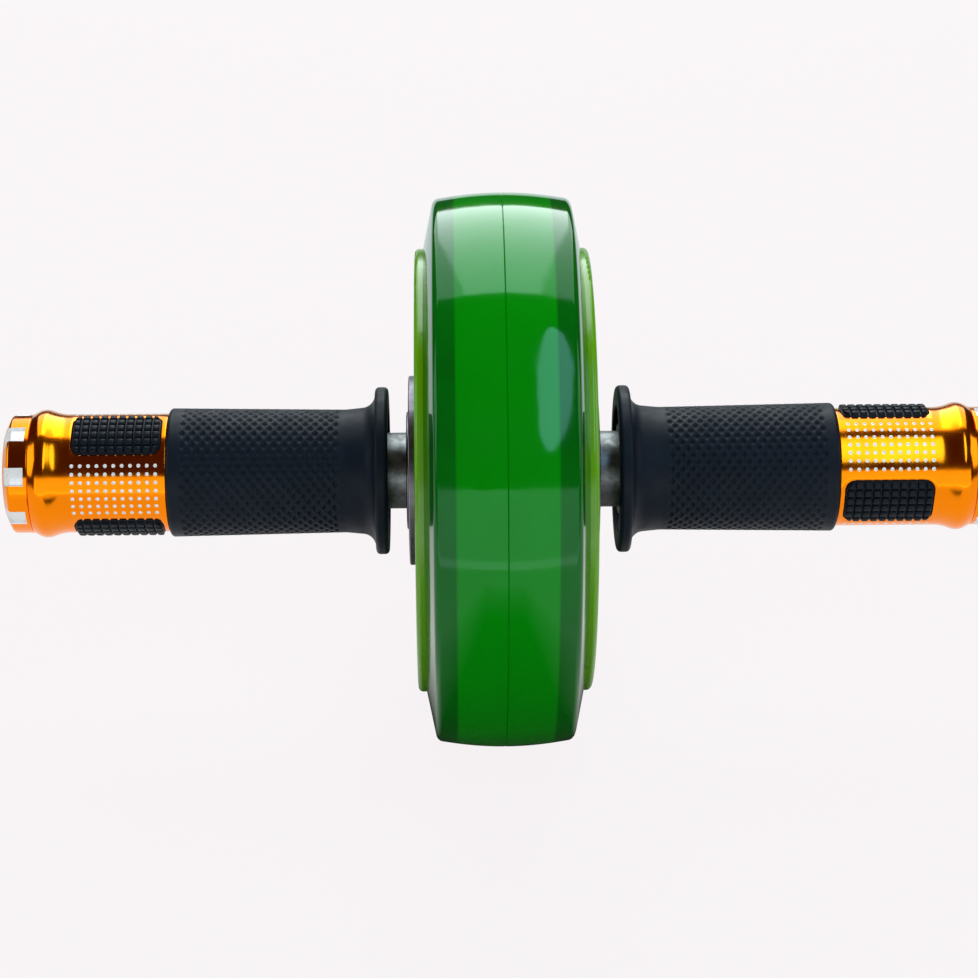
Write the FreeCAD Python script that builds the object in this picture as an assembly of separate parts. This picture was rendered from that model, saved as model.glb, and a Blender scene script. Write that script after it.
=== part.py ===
import FreeCAD, Part
import math
import os

# Ab wheel roller: one wide wheel turning on two ball bearings, on a bar with a hand grip at each end.
# Millimetres and degrees. X runs along the bar, Z is up, and the origin is the centre of the wheel.

# Tyre, a crowned ring moulded round the hub
WHEEL_DIAMETER = 160.0
TREAD_WIDTH = 39.0
CROWN_RADIUS = 98.0
SHOULDER_ROUNDING = 2.2
SIDEWALL_FLARE = 3.0
TYRE_THICKNESS = 10.0
SKIRT_DEPTH = 12.0
SKIRT_FLARE = 2.0
SEAM_WIDTH = 0.4
SEAM_DEPTH = 0.25

# Hub, two moulded halves that meet on the wheel's middle plane
BAND_WIDTH = 27.3
HUB_WALL = 3.5
RIM_HEIGHT = 6.0
RIM_THICKNESS = 3.3
RIM_FACE = 5.5
RIM_ROUNDING = 1.4
DISH_DEPTH = 4.5
DISH_SLOPE = 3.5
HOUSING_WALL = 4.5
HOUSING_PROUD = 0.2
BEARING_STOP = 2.0
SPOKE_COUNT = 6
SPOKE_WIDTH_HUB = 9.0
SPOKE_WIDTH_RIM = 6.5
SPOKE_HEIGHT = 1.8
SPOKE_ROUNDING = 0.8
RIB_THICKNESS = 2.5
BOSS_DIAMETER = 11.0

# Screws that pull the two hub halves together
HUB_SCREW_DIAMETER = 3.5
HUB_SCREW_HEAD = 7.0
HUB_SCREW_HEAD_HEIGHT = 2.4
HUB_SCREW_SEAT = 8.0
HUB_SCREW_GRIP = 14.0
HUB_SCREW_TIP_ROOM = 1.0
SCREW_HOLE_CLEARANCE = 0.3

# Ball bearings
BALL_DIAMETER = 6.35
BALL_COUNT = 9
BALL_CLEARANCE = 0.05
GROOVE_CONFORMITY = 0.12
GROOVE_LIP = 1.3
RACE_WALL = 2.275
CAGE_THICKNESS = 2.2
CAGE_RAIL = 0.75
POCKET_CLEARANCE = 0.1
SEAL_THICKNESS = 1.0
SEAL_INSET = 0.4
SEAL_SEAT = 0.6
SEAL_CLEARANCE = 0.15
CAGE_TO_SEAL = 0.675

# Bearing covers, one on each side of the hub
COVER_DIAMETER = 54.8
COVER_THICKNESS = 2.0
COVER_BOSS_DIAMETER = 34.0
COVER_BOSS_HEIGHT = 0.7
COVER_SPIGOT = 2.0
COVER_SPIGOT_WALL = 2.2
COVER_CLEARANCE = 0.35
COVER_SCREW_COUNT = 3
COVER_SCREW_DIAMETER = 2.5
COVER_SCREW_HEAD = 4.8
COVER_SCREW_LENGTH = 8.0

# Bar
AXLE_DIAMETER = 22.0
TUBE_WALL = 3.0
TUBE_INSET = 2.4
SPACER_WALL = 2.6
CIRCLIP_THICKNESS = 1.2
CIRCLIP_WIDTH = 3.2
CIRCLIP_GROOVE_DEPTH = 0.5
CIRCLIP_OPENING = 5.0
CIRCLIP_LUG = 3.8
CIRCLIP_HOLE = 1.8

# Rubber grip on its sleeve
FLANGE_GAP = 4.6
SLEEVE_WALL = 2.0
SLEEVE_INSET = 1.2
GRIP_LENGTH = 64.7
GRIP_WALL_NECK = 4.5
GRIP_WALL_END = 5.5
FLANGE_THICKNESS = 4.0
FLANGE_HEIGHT = 6.7
FLANGE_ROUNDING = 1.2
FLARE_LENGTH = 8.7
FLARE_ROUNDING = 4.0
RECESS_WIDTH = 5.6
RECESS_DEPTH = 3.2
GRIP_END_ROUNDING = 1.2

# Barrel with windows, and the rubber insert whose pads come out through them
INSERT_WALL = 1.6
BARREL_WALL = 2.3
PAD_COUNT = 3
PAD_LENGTH = 26.0
PAD_WIDTH = 15.4
PAD_CORNER = 3.0
PAD_PROUD = 1.5
PAD_CLEARANCE = 0.1
PAD_MARGIN_GRIP = 1.6
PAD_MARGIN_BULGE = 0.4
BULGE_LENGTH = 8.4
BULGE_HEIGHT = 2.2
BULGE_FALL = 2.6
BULGE_ROUNDING = 3.6
LEFT_GRIP_TURN = 77.6
RIGHT_GRIP_TURN = -5.0

# End caps, each held by one screw into a plug in the bar
CAP_LENGTH = 9.9
CAP_DOME = 4.3
CAP_NOSE = 0.7
CAP_NOSE_HEIGHT = 4.0
CAP_FACE_DIAMETER = 18.0
CAP_FLOOR = 4.0
CAP_SPIGOT_SHORT = 2.0
CAP_SPIGOT_WALL = 3.2
FLUTE_COUNT = 8
FLUTE_WIDTH = 5.3
FLUTE_LENGTH = 6.3
FLUTE_DEPTH = 0.8
LEFT_CAP_TURN = 32.8
RIGHT_CAP_TURN = 12.0
END_SCREW_DIAMETER = 6.0
END_SCREW_HEAD = 10.0
END_SCREW_SOCKET = 5.0
END_SCREW_SOCKET_DEPTH = 3.0
END_SCREW_LENGTH = 24.0
END_SCREW_ROOM = 0.3
PLUG_LENGTH = 18.0

# Clearance between pieces that are pushed together, and the rounding of small moulded edges
FIT = 0.02
SMALL_ROUNDING = 0.4

# Radii worked out from the bar outwards
R_AXLE = AXLE_DIAMETER / 2
R_BORE = R_AXLE - TUBE_WALL
R_BALL = BALL_DIAMETER / 2
R_PITCH = R_AXLE + RACE_WALL + BALL_CLEARANCE + R_BALL
R_BEARING = R_PITCH + R_BALL + BALL_CLEARANCE + RACE_WALL
R_INNER_LAND = R_AXLE + RACE_WALL + GROOVE_LIP
R_OUTER_LAND = R_BEARING - RACE_WALL - GROOVE_LIP
R_SEAL_SEAT = R_OUTER_LAND + SEAL_SEAT
R_HOUSING = R_BEARING + HOUSING_WALL
R_TREAD = WHEEL_DIAMETER / 2
R_BAND = R_TREAD - TYRE_THICKNESS
R_DRUM = R_BAND - SKIRT_DEPTH
R_RIM = R_DRUM + RIM_HEIGHT
R_BOSSES = (R_HOUSING + R_DRUM - HUB_WALL) / 2
R_COVER_SCREWS = (R_BEARING + R_HOUSING) / 2
R_SLEEVE = R_AXLE + SLEEVE_WALL
R_INSERT = R_SLEEVE + INSERT_WALL
R_BARREL = R_INSERT + BARREL_WALL
R_NECK = R_SLEEVE + GRIP_WALL_NECK

# Places along the bar, worked out from the middle plane outwards
BEARING_WIDTH = BALL_DIAMETER + 2 * (CAGE_RAIL + CAGE_TO_SEAL + SEAL_THICKNESS + SEAL_INSET)
X_BAND = BAND_WIDTH / 2
X_DRUM = TREAD_WIDTH / 2 + SKIRT_FLARE
X_RIM = X_DRUM + RIM_THICKNESS
X_DISH = X_RIM - DISH_DEPTH
X_WEB = X_DISH - HUB_WALL
X_HOUSING = X_RIM + HOUSING_PROUD
X_BEARING_OUT = X_HOUSING - COVER_SPIGOT
X_BEARING = X_BEARING_OUT - BEARING_WIDTH / 2
X_BEARING_IN = X_BEARING_OUT - BEARING_WIDTH
X_COVER = X_HOUSING + COVER_THICKNESS
X_COVER_BOSS = X_COVER + COVER_BOSS_HEIGHT
X_FLANGE = X_COVER_BOSS + FLANGE_GAP
X_GRIP_END = X_FLANGE + GRIP_LENGTH
X_PADS = X_GRIP_END + PAD_MARGIN_GRIP + PAD_LENGTH / 2
X_BULGE = X_PADS + PAD_LENGTH / 2 + PAD_MARGIN_BULGE
X_BARREL_END = X_BULGE + BULGE_LENGTH
X_SPIGOT = X_BULGE + CAP_SPIGOT_SHORT
X_SLEEVE_END = X_SPIGOT - FIT
X_TUBE_END = X_BARREL_END - TUBE_INSET
X_CAP_END = X_BARREL_END + CAP_LENGTH
X_SCREW_SEAT = X_BARREL_END + CAP_FLOOR

ORIGIN = FreeCAD.Vector(0, 0, 0)
ALONG = FreeCAD.Vector(1, 0, 0)


def outline(corners):
    """Closed face in the XY plane through corners (x, y, rounding), each rounded by its own radius."""
    points = [FreeCAD.Vector(x, y, 0) for x, y, rounding in corners]
    bends = []
    for i, (x, y, rounding) in enumerate(corners):
        point = points[i]
        back = (points[i - 1] - point).normalize()
        ahead = (points[(i + 1) % len(points)] - point).normalize()
        if rounding == 0:
            bends.append((point, None, point))
            continue
        half = back.getAngle(ahead) / 2
        reach = rounding / math.tan(half)
        inward = (back + ahead).normalize()
        middle = point + inward * (rounding / math.sin(half) - rounding)
        bends.append((point + back * reach, middle, point + ahead * reach))
    edges = []
    for i, (start, middle, end) in enumerate(bends):
        if middle is not None:
            edges.append(Part.Arc(start, middle, end).toShape())
        following = bends[(i + 1) % len(bends)][0]
        if following.distanceToPoint(end) > Part.Precision.confusion():
            edges.append(Part.LineSegment(end, following).toShape())
    return Part.Face(Part.Wire(edges))


def turned(corners):
    """Solid turned about the bar from an outline in (place along the bar, radius, rounding)."""
    return outline(corners).revolve(ORIGIN, ALONG, 360)


def ring(x_low, x_high, r_low, r_high):
    return turned([(x_low, r_low, 0), (x_high, r_low, 0), (x_high, r_high, 0), (x_low, r_high, 0)])


def rod(x_low, x_high, radius):
    """Round bar on the X axis."""
    return Part.makeCylinder(radius, x_high - x_low, FreeCAD.Vector(x_low, 0, 0), ALONG)


def block(x_low, x_high, r_low, r_high, width):
    """Box that points at the front, from one radius to another."""
    return Part.makeBox(x_high - x_low, r_high - r_low, width, FreeCAD.Vector(x_low, -r_high, -width / 2))


def moved_out(shape, radius):
    """Shape shifted from the axis to a radius at the front."""
    return shape.translated(FreeCAD.Vector(0, -radius, 0))


def spun(shape, angle):
    """Shape turned about the bar, from the front towards the top."""
    return shape.rotated(ORIGIN, ALONG, -angle)


def around(shape, count, first=0.0):
    """Evenly spaced copies of a shape round the bar."""
    return [spun(shape, first + i * 360.0 / count) for i in range(count)]


def mirrored(shape):
    """The other side's copy of a shape."""
    return shape.mirror(ORIGIN, ALONG)


def tyre():
    """Crowned tread with rounded shoulders, sloping sidewalls and a skirt that grips the hub's band."""
    arc_reach = TREAD_WIDTH / 2 - 2 * SHOULDER_ROUNDING
    slope = math.asin(arc_reach / CROWN_RADIUS)
    crown = R_TREAD + CROWN_RADIUS * (1 / math.cos(slope) - 1)
    shoulder = crown - TREAD_WIDTH / 2 * math.tan(slope)
    side = [
        (TREAD_WIDTH / 2, shoulder, SHOULDER_ROUNDING),
        (TREAD_WIDTH / 2 + SIDEWALL_FLARE, R_RIM, SMALL_ROUNDING),
        (X_DRUM, R_RIM, 0),
        (X_DRUM, R_DRUM, 0),
        (X_BAND, R_DRUM, 0),
        (X_BAND, R_BAND, 0),
    ]
    other_side = [(-x, r, rounding) for x, r, rounding in reversed(side)]
    body = turned([(0, crown, CROWN_RADIUS)] + side + other_side)
    seam = turned([
        (-SEAM_WIDTH / 2, R_TREAD + SEAM_DEPTH, 0),
        (SEAM_WIDTH / 2, R_TREAD + SEAM_DEPTH, 0),
        (SEAM_WIDTH / 2, R_TREAD - SEAM_DEPTH / 2, 0),
        (0, R_TREAD - SEAM_DEPTH, 0),
        (-SEAM_WIDTH / 2, R_TREAD - SEAM_DEPTH / 2, 0),
    ])
    return body.cut(seam)


def spoke():
    """Raised stiffener on the dished side of a hub half, wider at the hub, with softened edges."""
    r_low = R_HOUSING + DISH_SLOPE / 2
    r_high = R_RIM - RIM_FACE - DISH_SLOPE / 2
    plan = Part.makePolygon([
        FreeCAD.Vector(X_WEB + HUB_WALL / 2, -r_low, -SPOKE_WIDTH_HUB / 2),
        FreeCAD.Vector(X_WEB + HUB_WALL / 2, -r_low, SPOKE_WIDTH_HUB / 2),
        FreeCAD.Vector(X_WEB + HUB_WALL / 2, -r_high, SPOKE_WIDTH_RIM / 2),
        FreeCAD.Vector(X_WEB + HUB_WALL / 2, -r_high, -SPOKE_WIDTH_RIM / 2),
        FreeCAD.Vector(X_WEB + HUB_WALL / 2, -r_low, -SPOKE_WIDTH_HUB / 2),
    ])
    bar = Part.Face(plan).extrude(ALONG * (HUB_WALL / 2 + SPOKE_HEIGHT))
    x_top = bar.BoundBox.XMax
    top_edges = [edge for edge in bar.Edges if edge.BoundBox.XMin > x_top - SPOKE_ROUNDING]
    return bar.makeFillet(SPOKE_ROUNDING, top_edges)


def hub_half(holds_heads):
    """Right-hand hub half: bearing housing, dished web with spokes, drum, rim lip and half the tyre's band."""
    r_lip = R_RIM - RIM_FACE
    r_cavity = R_DRUM - HUB_WALL
    r_band_cavity = R_BAND - HUB_WALL
    x_band_cavity = X_BAND - HUB_WALL
    shell = turned([
        (0, R_BEARING - BEARING_STOP, 0),
        (X_BEARING_IN, R_BEARING - BEARING_STOP, 0),
        (X_BEARING_IN, R_BEARING, 0),
        (X_HOUSING, R_BEARING, 0),
        (X_HOUSING, R_HOUSING, SMALL_ROUNDING),
        (X_DISH, R_HOUSING + DISH_SLOPE, 2 * SMALL_ROUNDING),
        (X_DISH, r_lip - DISH_SLOPE, 2 * SMALL_ROUNDING),
        (X_RIM, r_lip, 2 * SMALL_ROUNDING),
        (X_RIM, R_RIM, RIM_ROUNDING),
        (X_DRUM, R_RIM, 0),
        (X_DRUM, R_DRUM, 0),
        (X_BAND, R_DRUM, 0),
        (X_BAND, R_BAND, 0),
        (0, R_BAND, 0),
        (0, r_band_cavity, 0),
        (x_band_cavity, r_band_cavity, 0),
        (x_band_cavity, r_cavity, 0),
        (X_WEB, r_cavity, 0),
        (X_WEB, R_HOUSING, 0),
        (0, R_HOUSING, 0),
    ])
    bury = HUB_WALL / 4
    rib = block(0, X_WEB + bury, R_HOUSING - bury, r_cavity + bury, RIB_THICKNESS)
    band_rib = block(0, x_band_cavity + bury, R_BOSSES, r_band_cavity + bury, RIB_THICKNESS)
    boss = moved_out(rod(0, X_WEB + bury, BOSS_DIAMETER / 2), R_BOSSES)
    half_step = 180.0 / SPOKE_COUNT
    added = around(spoke(), SPOKE_COUNT)
    added += around(rib, SPOKE_COUNT, half_step)
    added += around(band_rib, SPOKE_COUNT, half_step)
    added += around(boss, SPOKE_COUNT, half_step)
    if holds_heads:
        r_head = HUB_SCREW_HEAD / 2 + SCREW_HOLE_CLEARANCE
        well = rod(HUB_SCREW_SEAT, X_HOUSING, r_head)
        hole = well.fuse(rod(-FIT, X_HOUSING, HUB_SCREW_DIAMETER / 2 + SCREW_HOLE_CLEARANCE))
    else:
        hole = rod(-FIT, HUB_SCREW_GRIP + HUB_SCREW_TIP_ROOM, HUB_SCREW_DIAMETER / 2 + FIT)
    holes = around(moved_out(hole, R_BOSSES), SPOKE_COUNT, half_step)
    pilot = rod(X_COVER - COVER_SCREW_LENGTH - FIT, X_COVER, COVER_SCREW_DIAMETER / 2 + FIT)
    holes += around(moved_out(pilot, R_COVER_SCREWS), COVER_SCREW_COUNT)
    return shell.multiFuse(added).removeSplitter().cut(holes)


def hub_screws():
    """Pan head screws through the right half's bosses into the left half's."""
    r_head = HUB_SCREW_HEAD / 2
    top = HUB_SCREW_SEAT + HUB_SCREW_HEAD_HEIGHT
    head = turned([
        (HUB_SCREW_SEAT, 0, 0),
        (top, 0, 0),
        (top, r_head, HUB_SCREW_HEAD_HEIGHT / 2),
        (HUB_SCREW_SEAT, r_head, 0),
    ])
    screw = head.fuse(rod(-HUB_SCREW_GRIP, HUB_SCREW_SEAT, HUB_SCREW_DIAMETER / 2))
    half_step = 180.0 / SPOKE_COUNT
    return Part.makeCompound(around(moved_out(screw, R_BOSSES), SPOKE_COUNT, half_step))


def countersunk(clearance):
    """Countersunk screw on the X axis with its head flush with the bearing cover, or the hole for one."""
    r_head = COVER_SCREW_HEAD / 2
    r_shank = COVER_SCREW_DIAMETER / 2
    return turned([
        (X_COVER, 0, 0),
        (X_COVER, r_head + clearance, 0),
        (X_COVER - r_head + r_shank, r_shank + clearance, 0),
        (X_COVER - COVER_SCREW_LENGTH, r_shank + clearance, 0),
        (X_COVER - COVER_SCREW_LENGTH, 0, 0),
    ])


def cover_screws():
    return Part.makeCompound(around(moved_out(countersunk(0), R_COVER_SCREWS), COVER_SCREW_COUNT))


def bearing_cover():
    """Disc over the bearing, with a low boss round the bar and a spigot that holds the outer race."""
    r_hole = R_AXLE + COVER_CLEARANCE
    r_cover = COVER_DIAMETER / 2
    r_boss = COVER_BOSS_DIAMETER / 2
    r_spigot = R_BEARING - FIT
    disc = turned([
        (X_BEARING_OUT, r_spigot - COVER_SPIGOT_WALL, 0),
        (X_BEARING_OUT, r_spigot, 0),
        (X_HOUSING, r_spigot, 0),
        (X_HOUSING, r_cover, 0),
        (X_COVER, r_cover, SMALL_ROUNDING),
        (X_COVER, r_boss, 0),
        (X_COVER_BOSS, r_boss, SMALL_ROUNDING),
        (X_COVER_BOSS, r_hole, 0),
        (X_HOUSING, r_hole, 0),
        (X_HOUSING, r_spigot - COVER_SPIGOT_WALL, 0),
    ])
    return disc.cut(around(moved_out(countersunk(FIT), R_COVER_SCREWS), COVER_SCREW_COUNT))


def ball_groove(r_bottom, outwards):
    """Torus that leaves a ball groove in a race, a little wider than the ball."""
    r_groove = R_BALL + GROOVE_CONFORMITY
    r_centre = r_bottom - r_groove if outwards else r_bottom + r_groove
    return Part.makeTorus(r_centre, r_groove, FreeCAD.Vector(X_BEARING, 0, 0), ALONG)


def inner_race():
    half = BEARING_WIDTH / 2
    body = turned([
        (X_BEARING - half, R_AXLE + FIT, SMALL_ROUNDING),
        (X_BEARING + half, R_AXLE + FIT, SMALL_ROUNDING),
        (X_BEARING + half, R_INNER_LAND, SMALL_ROUNDING),
        (X_BEARING - half, R_INNER_LAND, SMALL_ROUNDING),
    ])
    return body.cut(ball_groove(R_AXLE + RACE_WALL, False))


def outer_race():
    """Outer race with a ball groove and a step at each side for a seal."""
    half = BEARING_WIDTH / 2
    x_step = half - SEAL_INSET - SEAL_THICKNESS
    body = turned([
        (X_BEARING - half, R_SEAL_SEAT, 0),
        (X_BEARING - x_step, R_SEAL_SEAT, 0),
        (X_BEARING - x_step, R_OUTER_LAND, 0),
        (X_BEARING + x_step, R_OUTER_LAND, 0),
        (X_BEARING + x_step, R_SEAL_SEAT, 0),
        (X_BEARING + half, R_SEAL_SEAT, 0),
        (X_BEARING + half, R_BEARING - FIT, SMALL_ROUNDING),
        (X_BEARING - half, R_BEARING - FIT, SMALL_ROUNDING),
    ])
    return body.cut(ball_groove(R_BEARING - RACE_WALL, True))


def bearing_seals():
    """A seal at each side of the bearing, seated in the outer race and clear of the inner one."""
    x_near = BEARING_WIDTH / 2 - SEAL_INSET - SEAL_THICKNESS
    x_far = x_near + SEAL_THICKNESS
    r_low = R_INNER_LAND + SEAL_CLEARANCE
    r_high = R_SEAL_SEAT - FIT
    outboard = ring(X_BEARING + x_near, X_BEARING + x_far, r_low, r_high)
    inboard = ring(X_BEARING - x_far, X_BEARING - x_near, r_low, r_high)
    return Part.makeCompound([outboard, inboard])


def ball(radius):
    return Part.makeSphere(radius, FreeCAD.Vector(X_BEARING, -R_PITCH, 0))


def bearing_balls():
    return Part.makeCompound(around(ball(R_BALL), BALL_COUNT))


def ball_cage():
    """One-piece ring with a round pocket for each ball."""
    half = R_BALL + CAGE_RAIL
    r_low = R_PITCH - CAGE_THICKNESS / 2
    r_high = R_PITCH + CAGE_THICKNESS / 2
    band = ring(X_BEARING - half, X_BEARING + half, r_low, r_high)
    return band.cut(around(ball(R_BALL + POCKET_CLEARANCE), BALL_COUNT))


def bearing_spacer():
    """Sleeve on the bar that keeps the two inner races apart."""
    return ring(-X_BEARING_IN, X_BEARING_IN, R_AXLE + FIT, R_AXLE + SPACER_WALL)


def circlip():
    """Open spring ring with a holed lug at each end, in the bar's groove outside the bearing."""
    r_inside = R_AXLE - CIRCLIP_GROOVE_DEPTH + FIT
    r_outside = r_inside + CIRCLIP_WIDTH
    x_far = X_BEARING_OUT + CIRCLIP_THICKNESS
    lug_turn = math.degrees((CIRCLIP_OPENING + CIRCLIP_LUG) / 2 / r_outside)
    lug = moved_out(rod(X_BEARING_OUT, x_far, CIRCLIP_LUG / 2), r_outside - CIRCLIP_HOLE / 2)
    hole = moved_out(rod(X_BEARING_OUT, x_far, CIRCLIP_HOLE / 2), r_outside - CIRCLIP_HOLE / 2)
    opening = block(X_BEARING_OUT, x_far, 0, r_outside + CIRCLIP_LUG, CIRCLIP_OPENING)
    body = ring(X_BEARING_OUT, x_far, r_inside, r_outside)
    body = body.multiFuse([spun(lug, lug_turn), spun(lug, -lug_turn)])
    inside = rod(X_BEARING_OUT, x_far, r_inside)
    return body.cut([opening, inside, spun(hole, lug_turn), spun(hole, -lug_turn)])


def axle_tube():
    """Bar from one end cap to the other, with a groove for each circlip."""
    tube = ring(-X_TUBE_END, X_TUBE_END, R_BORE, R_AXLE)
    x_far = X_BEARING_OUT + CIRCLIP_THICKNESS + FIT
    groove = ring(X_BEARING_OUT, x_far, R_AXLE - CIRCLIP_GROOVE_DEPTH, R_AXLE + CIRCLIP_GROOVE_DEPTH)
    return tube.cut([groove, mirrored(groove)])


def grip_sleeve():
    """Plain sleeve on the bar that carries the rubber grip and the barrel."""
    return ring(X_FLANGE + SLEEVE_INSET, X_SLEEVE_END, R_AXLE + FIT, R_SLEEVE)


def rubber_grip():
    """Moulded grip: recessed hand flange, flared neck, and a body that thickens towards its outer end."""
    r_low = R_SLEEVE + FIT
    r_flange = R_NECK + FLANGE_HEIGHT
    x_back = X_FLANGE + FLANGE_THICKNESS
    x_floor = X_FLANGE + RECESS_DEPTH
    return turned([
        (X_FLANGE, R_SLEEVE + RECESS_WIDTH, SMALL_ROUNDING),
        (X_FLANGE, r_flange, FLANGE_ROUNDING),
        (x_back, r_flange, FLANGE_ROUNDING),
        (x_back + SMALL_ROUNDING, R_NECK + GRIP_WALL_END - GRIP_WALL_NECK, FLARE_ROUNDING),
        (x_back + FLARE_LENGTH, R_NECK, FLARE_LENGTH),
        (X_GRIP_END, R_SLEEVE + GRIP_WALL_END, GRIP_END_ROUNDING),
        (X_GRIP_END, r_low, 0),
        (x_floor, r_low, 0),
        (x_floor, R_SLEEVE + RECESS_WIDTH, SMALL_ROUNDING),
    ])


def pad_prism(clearance):
    """Round-cornered pad shape that points at the front, longer than any wall that it passes."""
    half_length = PAD_LENGTH / 2 + clearance
    half_width = PAD_WIDTH / 2 + clearance
    corner = PAD_CORNER + clearance
    plan = outline([
        (X_PADS - half_length, -half_width, corner),
        (X_PADS + half_length, -half_width, corner),
        (X_PADS + half_length, half_width, corner),
        (X_PADS - half_length, half_width, corner),
    ])
    return plan.rotated(ORIGIN, ALONG, 90).extrude(FreeCAD.Vector(0, -2 * R_BARREL, 0))


def barrel(turn):
    """Metal barrel with a swelling at its outer end and a window for each pad."""
    tube = turned([
        (X_GRIP_END, R_INSERT + FIT, 0),
        (X_GRIP_END, R_BARREL, SMALL_ROUNDING),
        (X_BULGE, R_BARREL, BULGE_ROUNDING),
        (X_BARREL_END - BULGE_FALL, R_BARREL + BULGE_HEIGHT, BULGE_ROUNDING),
        (X_BARREL_END, R_BARREL, SMALL_ROUNDING),
        (X_BARREL_END, R_INSERT + FIT, 0),
    ])
    return tube.cut(around(pad_prism(PAD_CLEARANCE), PAD_COUNT, turn))


def pad_insert(turn):
    """Rubber liner inside the barrel with a raised pad at each window."""
    liner = ring(X_GRIP_END, X_SLEEVE_END, R_SLEEVE + FIT, R_INSERT)
    r_top = R_BARREL + PAD_PROUD
    shell = turned([
        (X_PADS - PAD_LENGTH, R_SLEEVE + INSERT_WALL / 2, 0),
        (X_PADS + PAD_LENGTH, R_SLEEVE + INSERT_WALL / 2, 0),
        (X_PADS + PAD_LENGTH, r_top, 0),
        (X_PADS - PAD_LENGTH, r_top, 0),
    ])
    pads = [pad.common(shell) for pad in around(pad_prism(0), PAD_COUNT, turn)]
    return liner.multiFuse(pads).removeSplitter()


def flute():
    """Cutter for one slot that follows the end cap's dome."""
    x_dome = X_CAP_END - CAP_DOME
    x_nose = X_CAP_END - CAP_NOSE
    r_face = CAP_FACE_DIAMETER / 2
    floor = Part.makePolygon([
        FreeCAD.Vector(X_CAP_END - FLUTE_LENGTH, -R_BARREL + FLUTE_DEPTH, -FLUTE_WIDTH / 2),
        FreeCAD.Vector(x_dome - FLUTE_DEPTH / 2, -R_BARREL + FLUTE_DEPTH, -FLUTE_WIDTH / 2),
        FreeCAD.Vector(x_nose - FLUTE_DEPTH, -r_face - CAP_NOSE_HEIGHT + FLUTE_DEPTH, -FLUTE_WIDTH / 2),
        FreeCAD.Vector(X_CAP_END, -r_face + FLUTE_DEPTH, -FLUTE_WIDTH / 2),
        FreeCAD.Vector(X_CAP_END + CAP_NOSE, -r_face + FLUTE_DEPTH, -FLUTE_WIDTH / 2),
        FreeCAD.Vector(X_CAP_END + CAP_NOSE, -2 * R_BARREL, -FLUTE_WIDTH / 2),
        FreeCAD.Vector(X_CAP_END - FLUTE_LENGTH, -2 * R_BARREL, -FLUTE_WIDTH / 2),
        FreeCAD.Vector(X_CAP_END - FLUTE_LENGTH, -R_BARREL + FLUTE_DEPTH, -FLUTE_WIDTH / 2),
    ])
    return Part.Face(floor).extrude(FreeCAD.Vector(0, 0, FLUTE_WIDTH))


def end_cap(turn):
    """Domed cap with slots round its edge, a spigot in the barrel and a deep seat for its screw."""
    r_face = CAP_FACE_DIAMETER / 2
    r_head = END_SCREW_HEAD / 2 + SCREW_HOLE_CLEARANCE
    r_shank = END_SCREW_DIAMETER / 2 + SCREW_HOLE_CLEARANCE
    body = turned([
        (X_SPIGOT, R_INSERT - CAP_SPIGOT_WALL, 0),
        (X_SPIGOT, R_INSERT, SMALL_ROUNDING),
        (X_BARREL_END, R_INSERT, 0),
        (X_BARREL_END, R_BARREL, SMALL_ROUNDING),
        (X_CAP_END - CAP_DOME, R_BARREL, CAP_DOME / 2),
        (X_CAP_END - CAP_NOSE, r_face + CAP_NOSE_HEIGHT, CAP_NOSE_HEIGHT),
        (X_CAP_END, r_face, SMALL_ROUNDING),
        (X_CAP_END, r_head, SMALL_ROUNDING),
        (X_SCREW_SEAT, r_head, 0),
        (X_SCREW_SEAT, r_shank, 0),
        (X_BARREL_END, r_shank, 0),
        (X_BARREL_END, R_INSERT - CAP_SPIGOT_WALL, 0),
    ])
    return body.cut(around(flute(), FLUTE_COUNT, turn))


def end_screw():
    """Socket head screw that clamps the end cap and barrel against the grip."""
    top = X_CAP_END - END_SCREW_ROOM
    head = turned([
        (X_SCREW_SEAT, 0, 0),
        (top, 0, 0),
        (top, END_SCREW_HEAD / 2, SMALL_ROUNDING),
        (X_SCREW_SEAT, END_SCREW_HEAD / 2, 0),
    ])
    r_corner = END_SCREW_SOCKET / math.sqrt(3)
    corners = [
        FreeCAD.Vector(top, r_corner * math.cos(i * math.pi / 3), r_corner * math.sin(i * math.pi / 3))
        for i in range(7)
    ]
    socket = Part.Face(Part.makePolygon(corners)).extrude(ALONG * -END_SCREW_SOCKET_DEPTH)
    shank = rod(X_SCREW_SEAT - END_SCREW_LENGTH, X_SCREW_SEAT, END_SCREW_DIAMETER / 2)
    return head.fuse(shank).removeSplitter().cut(socket)


def tube_plug():
    """Tapped plug pressed into the end of the bar."""
    return ring(X_TUBE_END - PLUG_LENGTH, X_TUBE_END, END_SCREW_DIAMETER / 2 + FIT, R_BORE - FIT)


parts = {
    "tyre": tyre(),
    "right_hub_half": hub_half(True),
    "left_hub_half": mirrored(hub_half(False)),
    "hub_screws": hub_screws(),
    "axle_tube": axle_tube(),
    "bearing_spacer": bearing_spacer(),
}
for name, make in [
    ("bearing_cover", bearing_cover),
    ("cover_screws", cover_screws),
    ("bearing_inner_race", inner_race),
    ("bearing_outer_race", outer_race),
    ("bearing_seals", bearing_seals),
    ("bearing_balls", bearing_balls),
    ("ball_cage", ball_cage),
    ("circlip", circlip),
    ("grip_sleeve", grip_sleeve),
    ("rubber_grip", rubber_grip),
    ("end_screw", end_screw),
    ("tube_plug", tube_plug),
]:
    parts["right_" + name] = make()
    parts["left_" + name] = mirrored(make())
for name, make, left_turn, right_turn in [
    ("barrel", barrel, LEFT_GRIP_TURN, RIGHT_GRIP_TURN),
    ("pad_insert", pad_insert, LEFT_GRIP_TURN, RIGHT_GRIP_TURN),
    ("end_cap", end_cap, LEFT_CAP_TURN, RIGHT_CAP_TURN),
]:
    parts["right_" + name] = make(right_turn)
    parts["left_" + name] = mirrored(make(left_turn))

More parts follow.
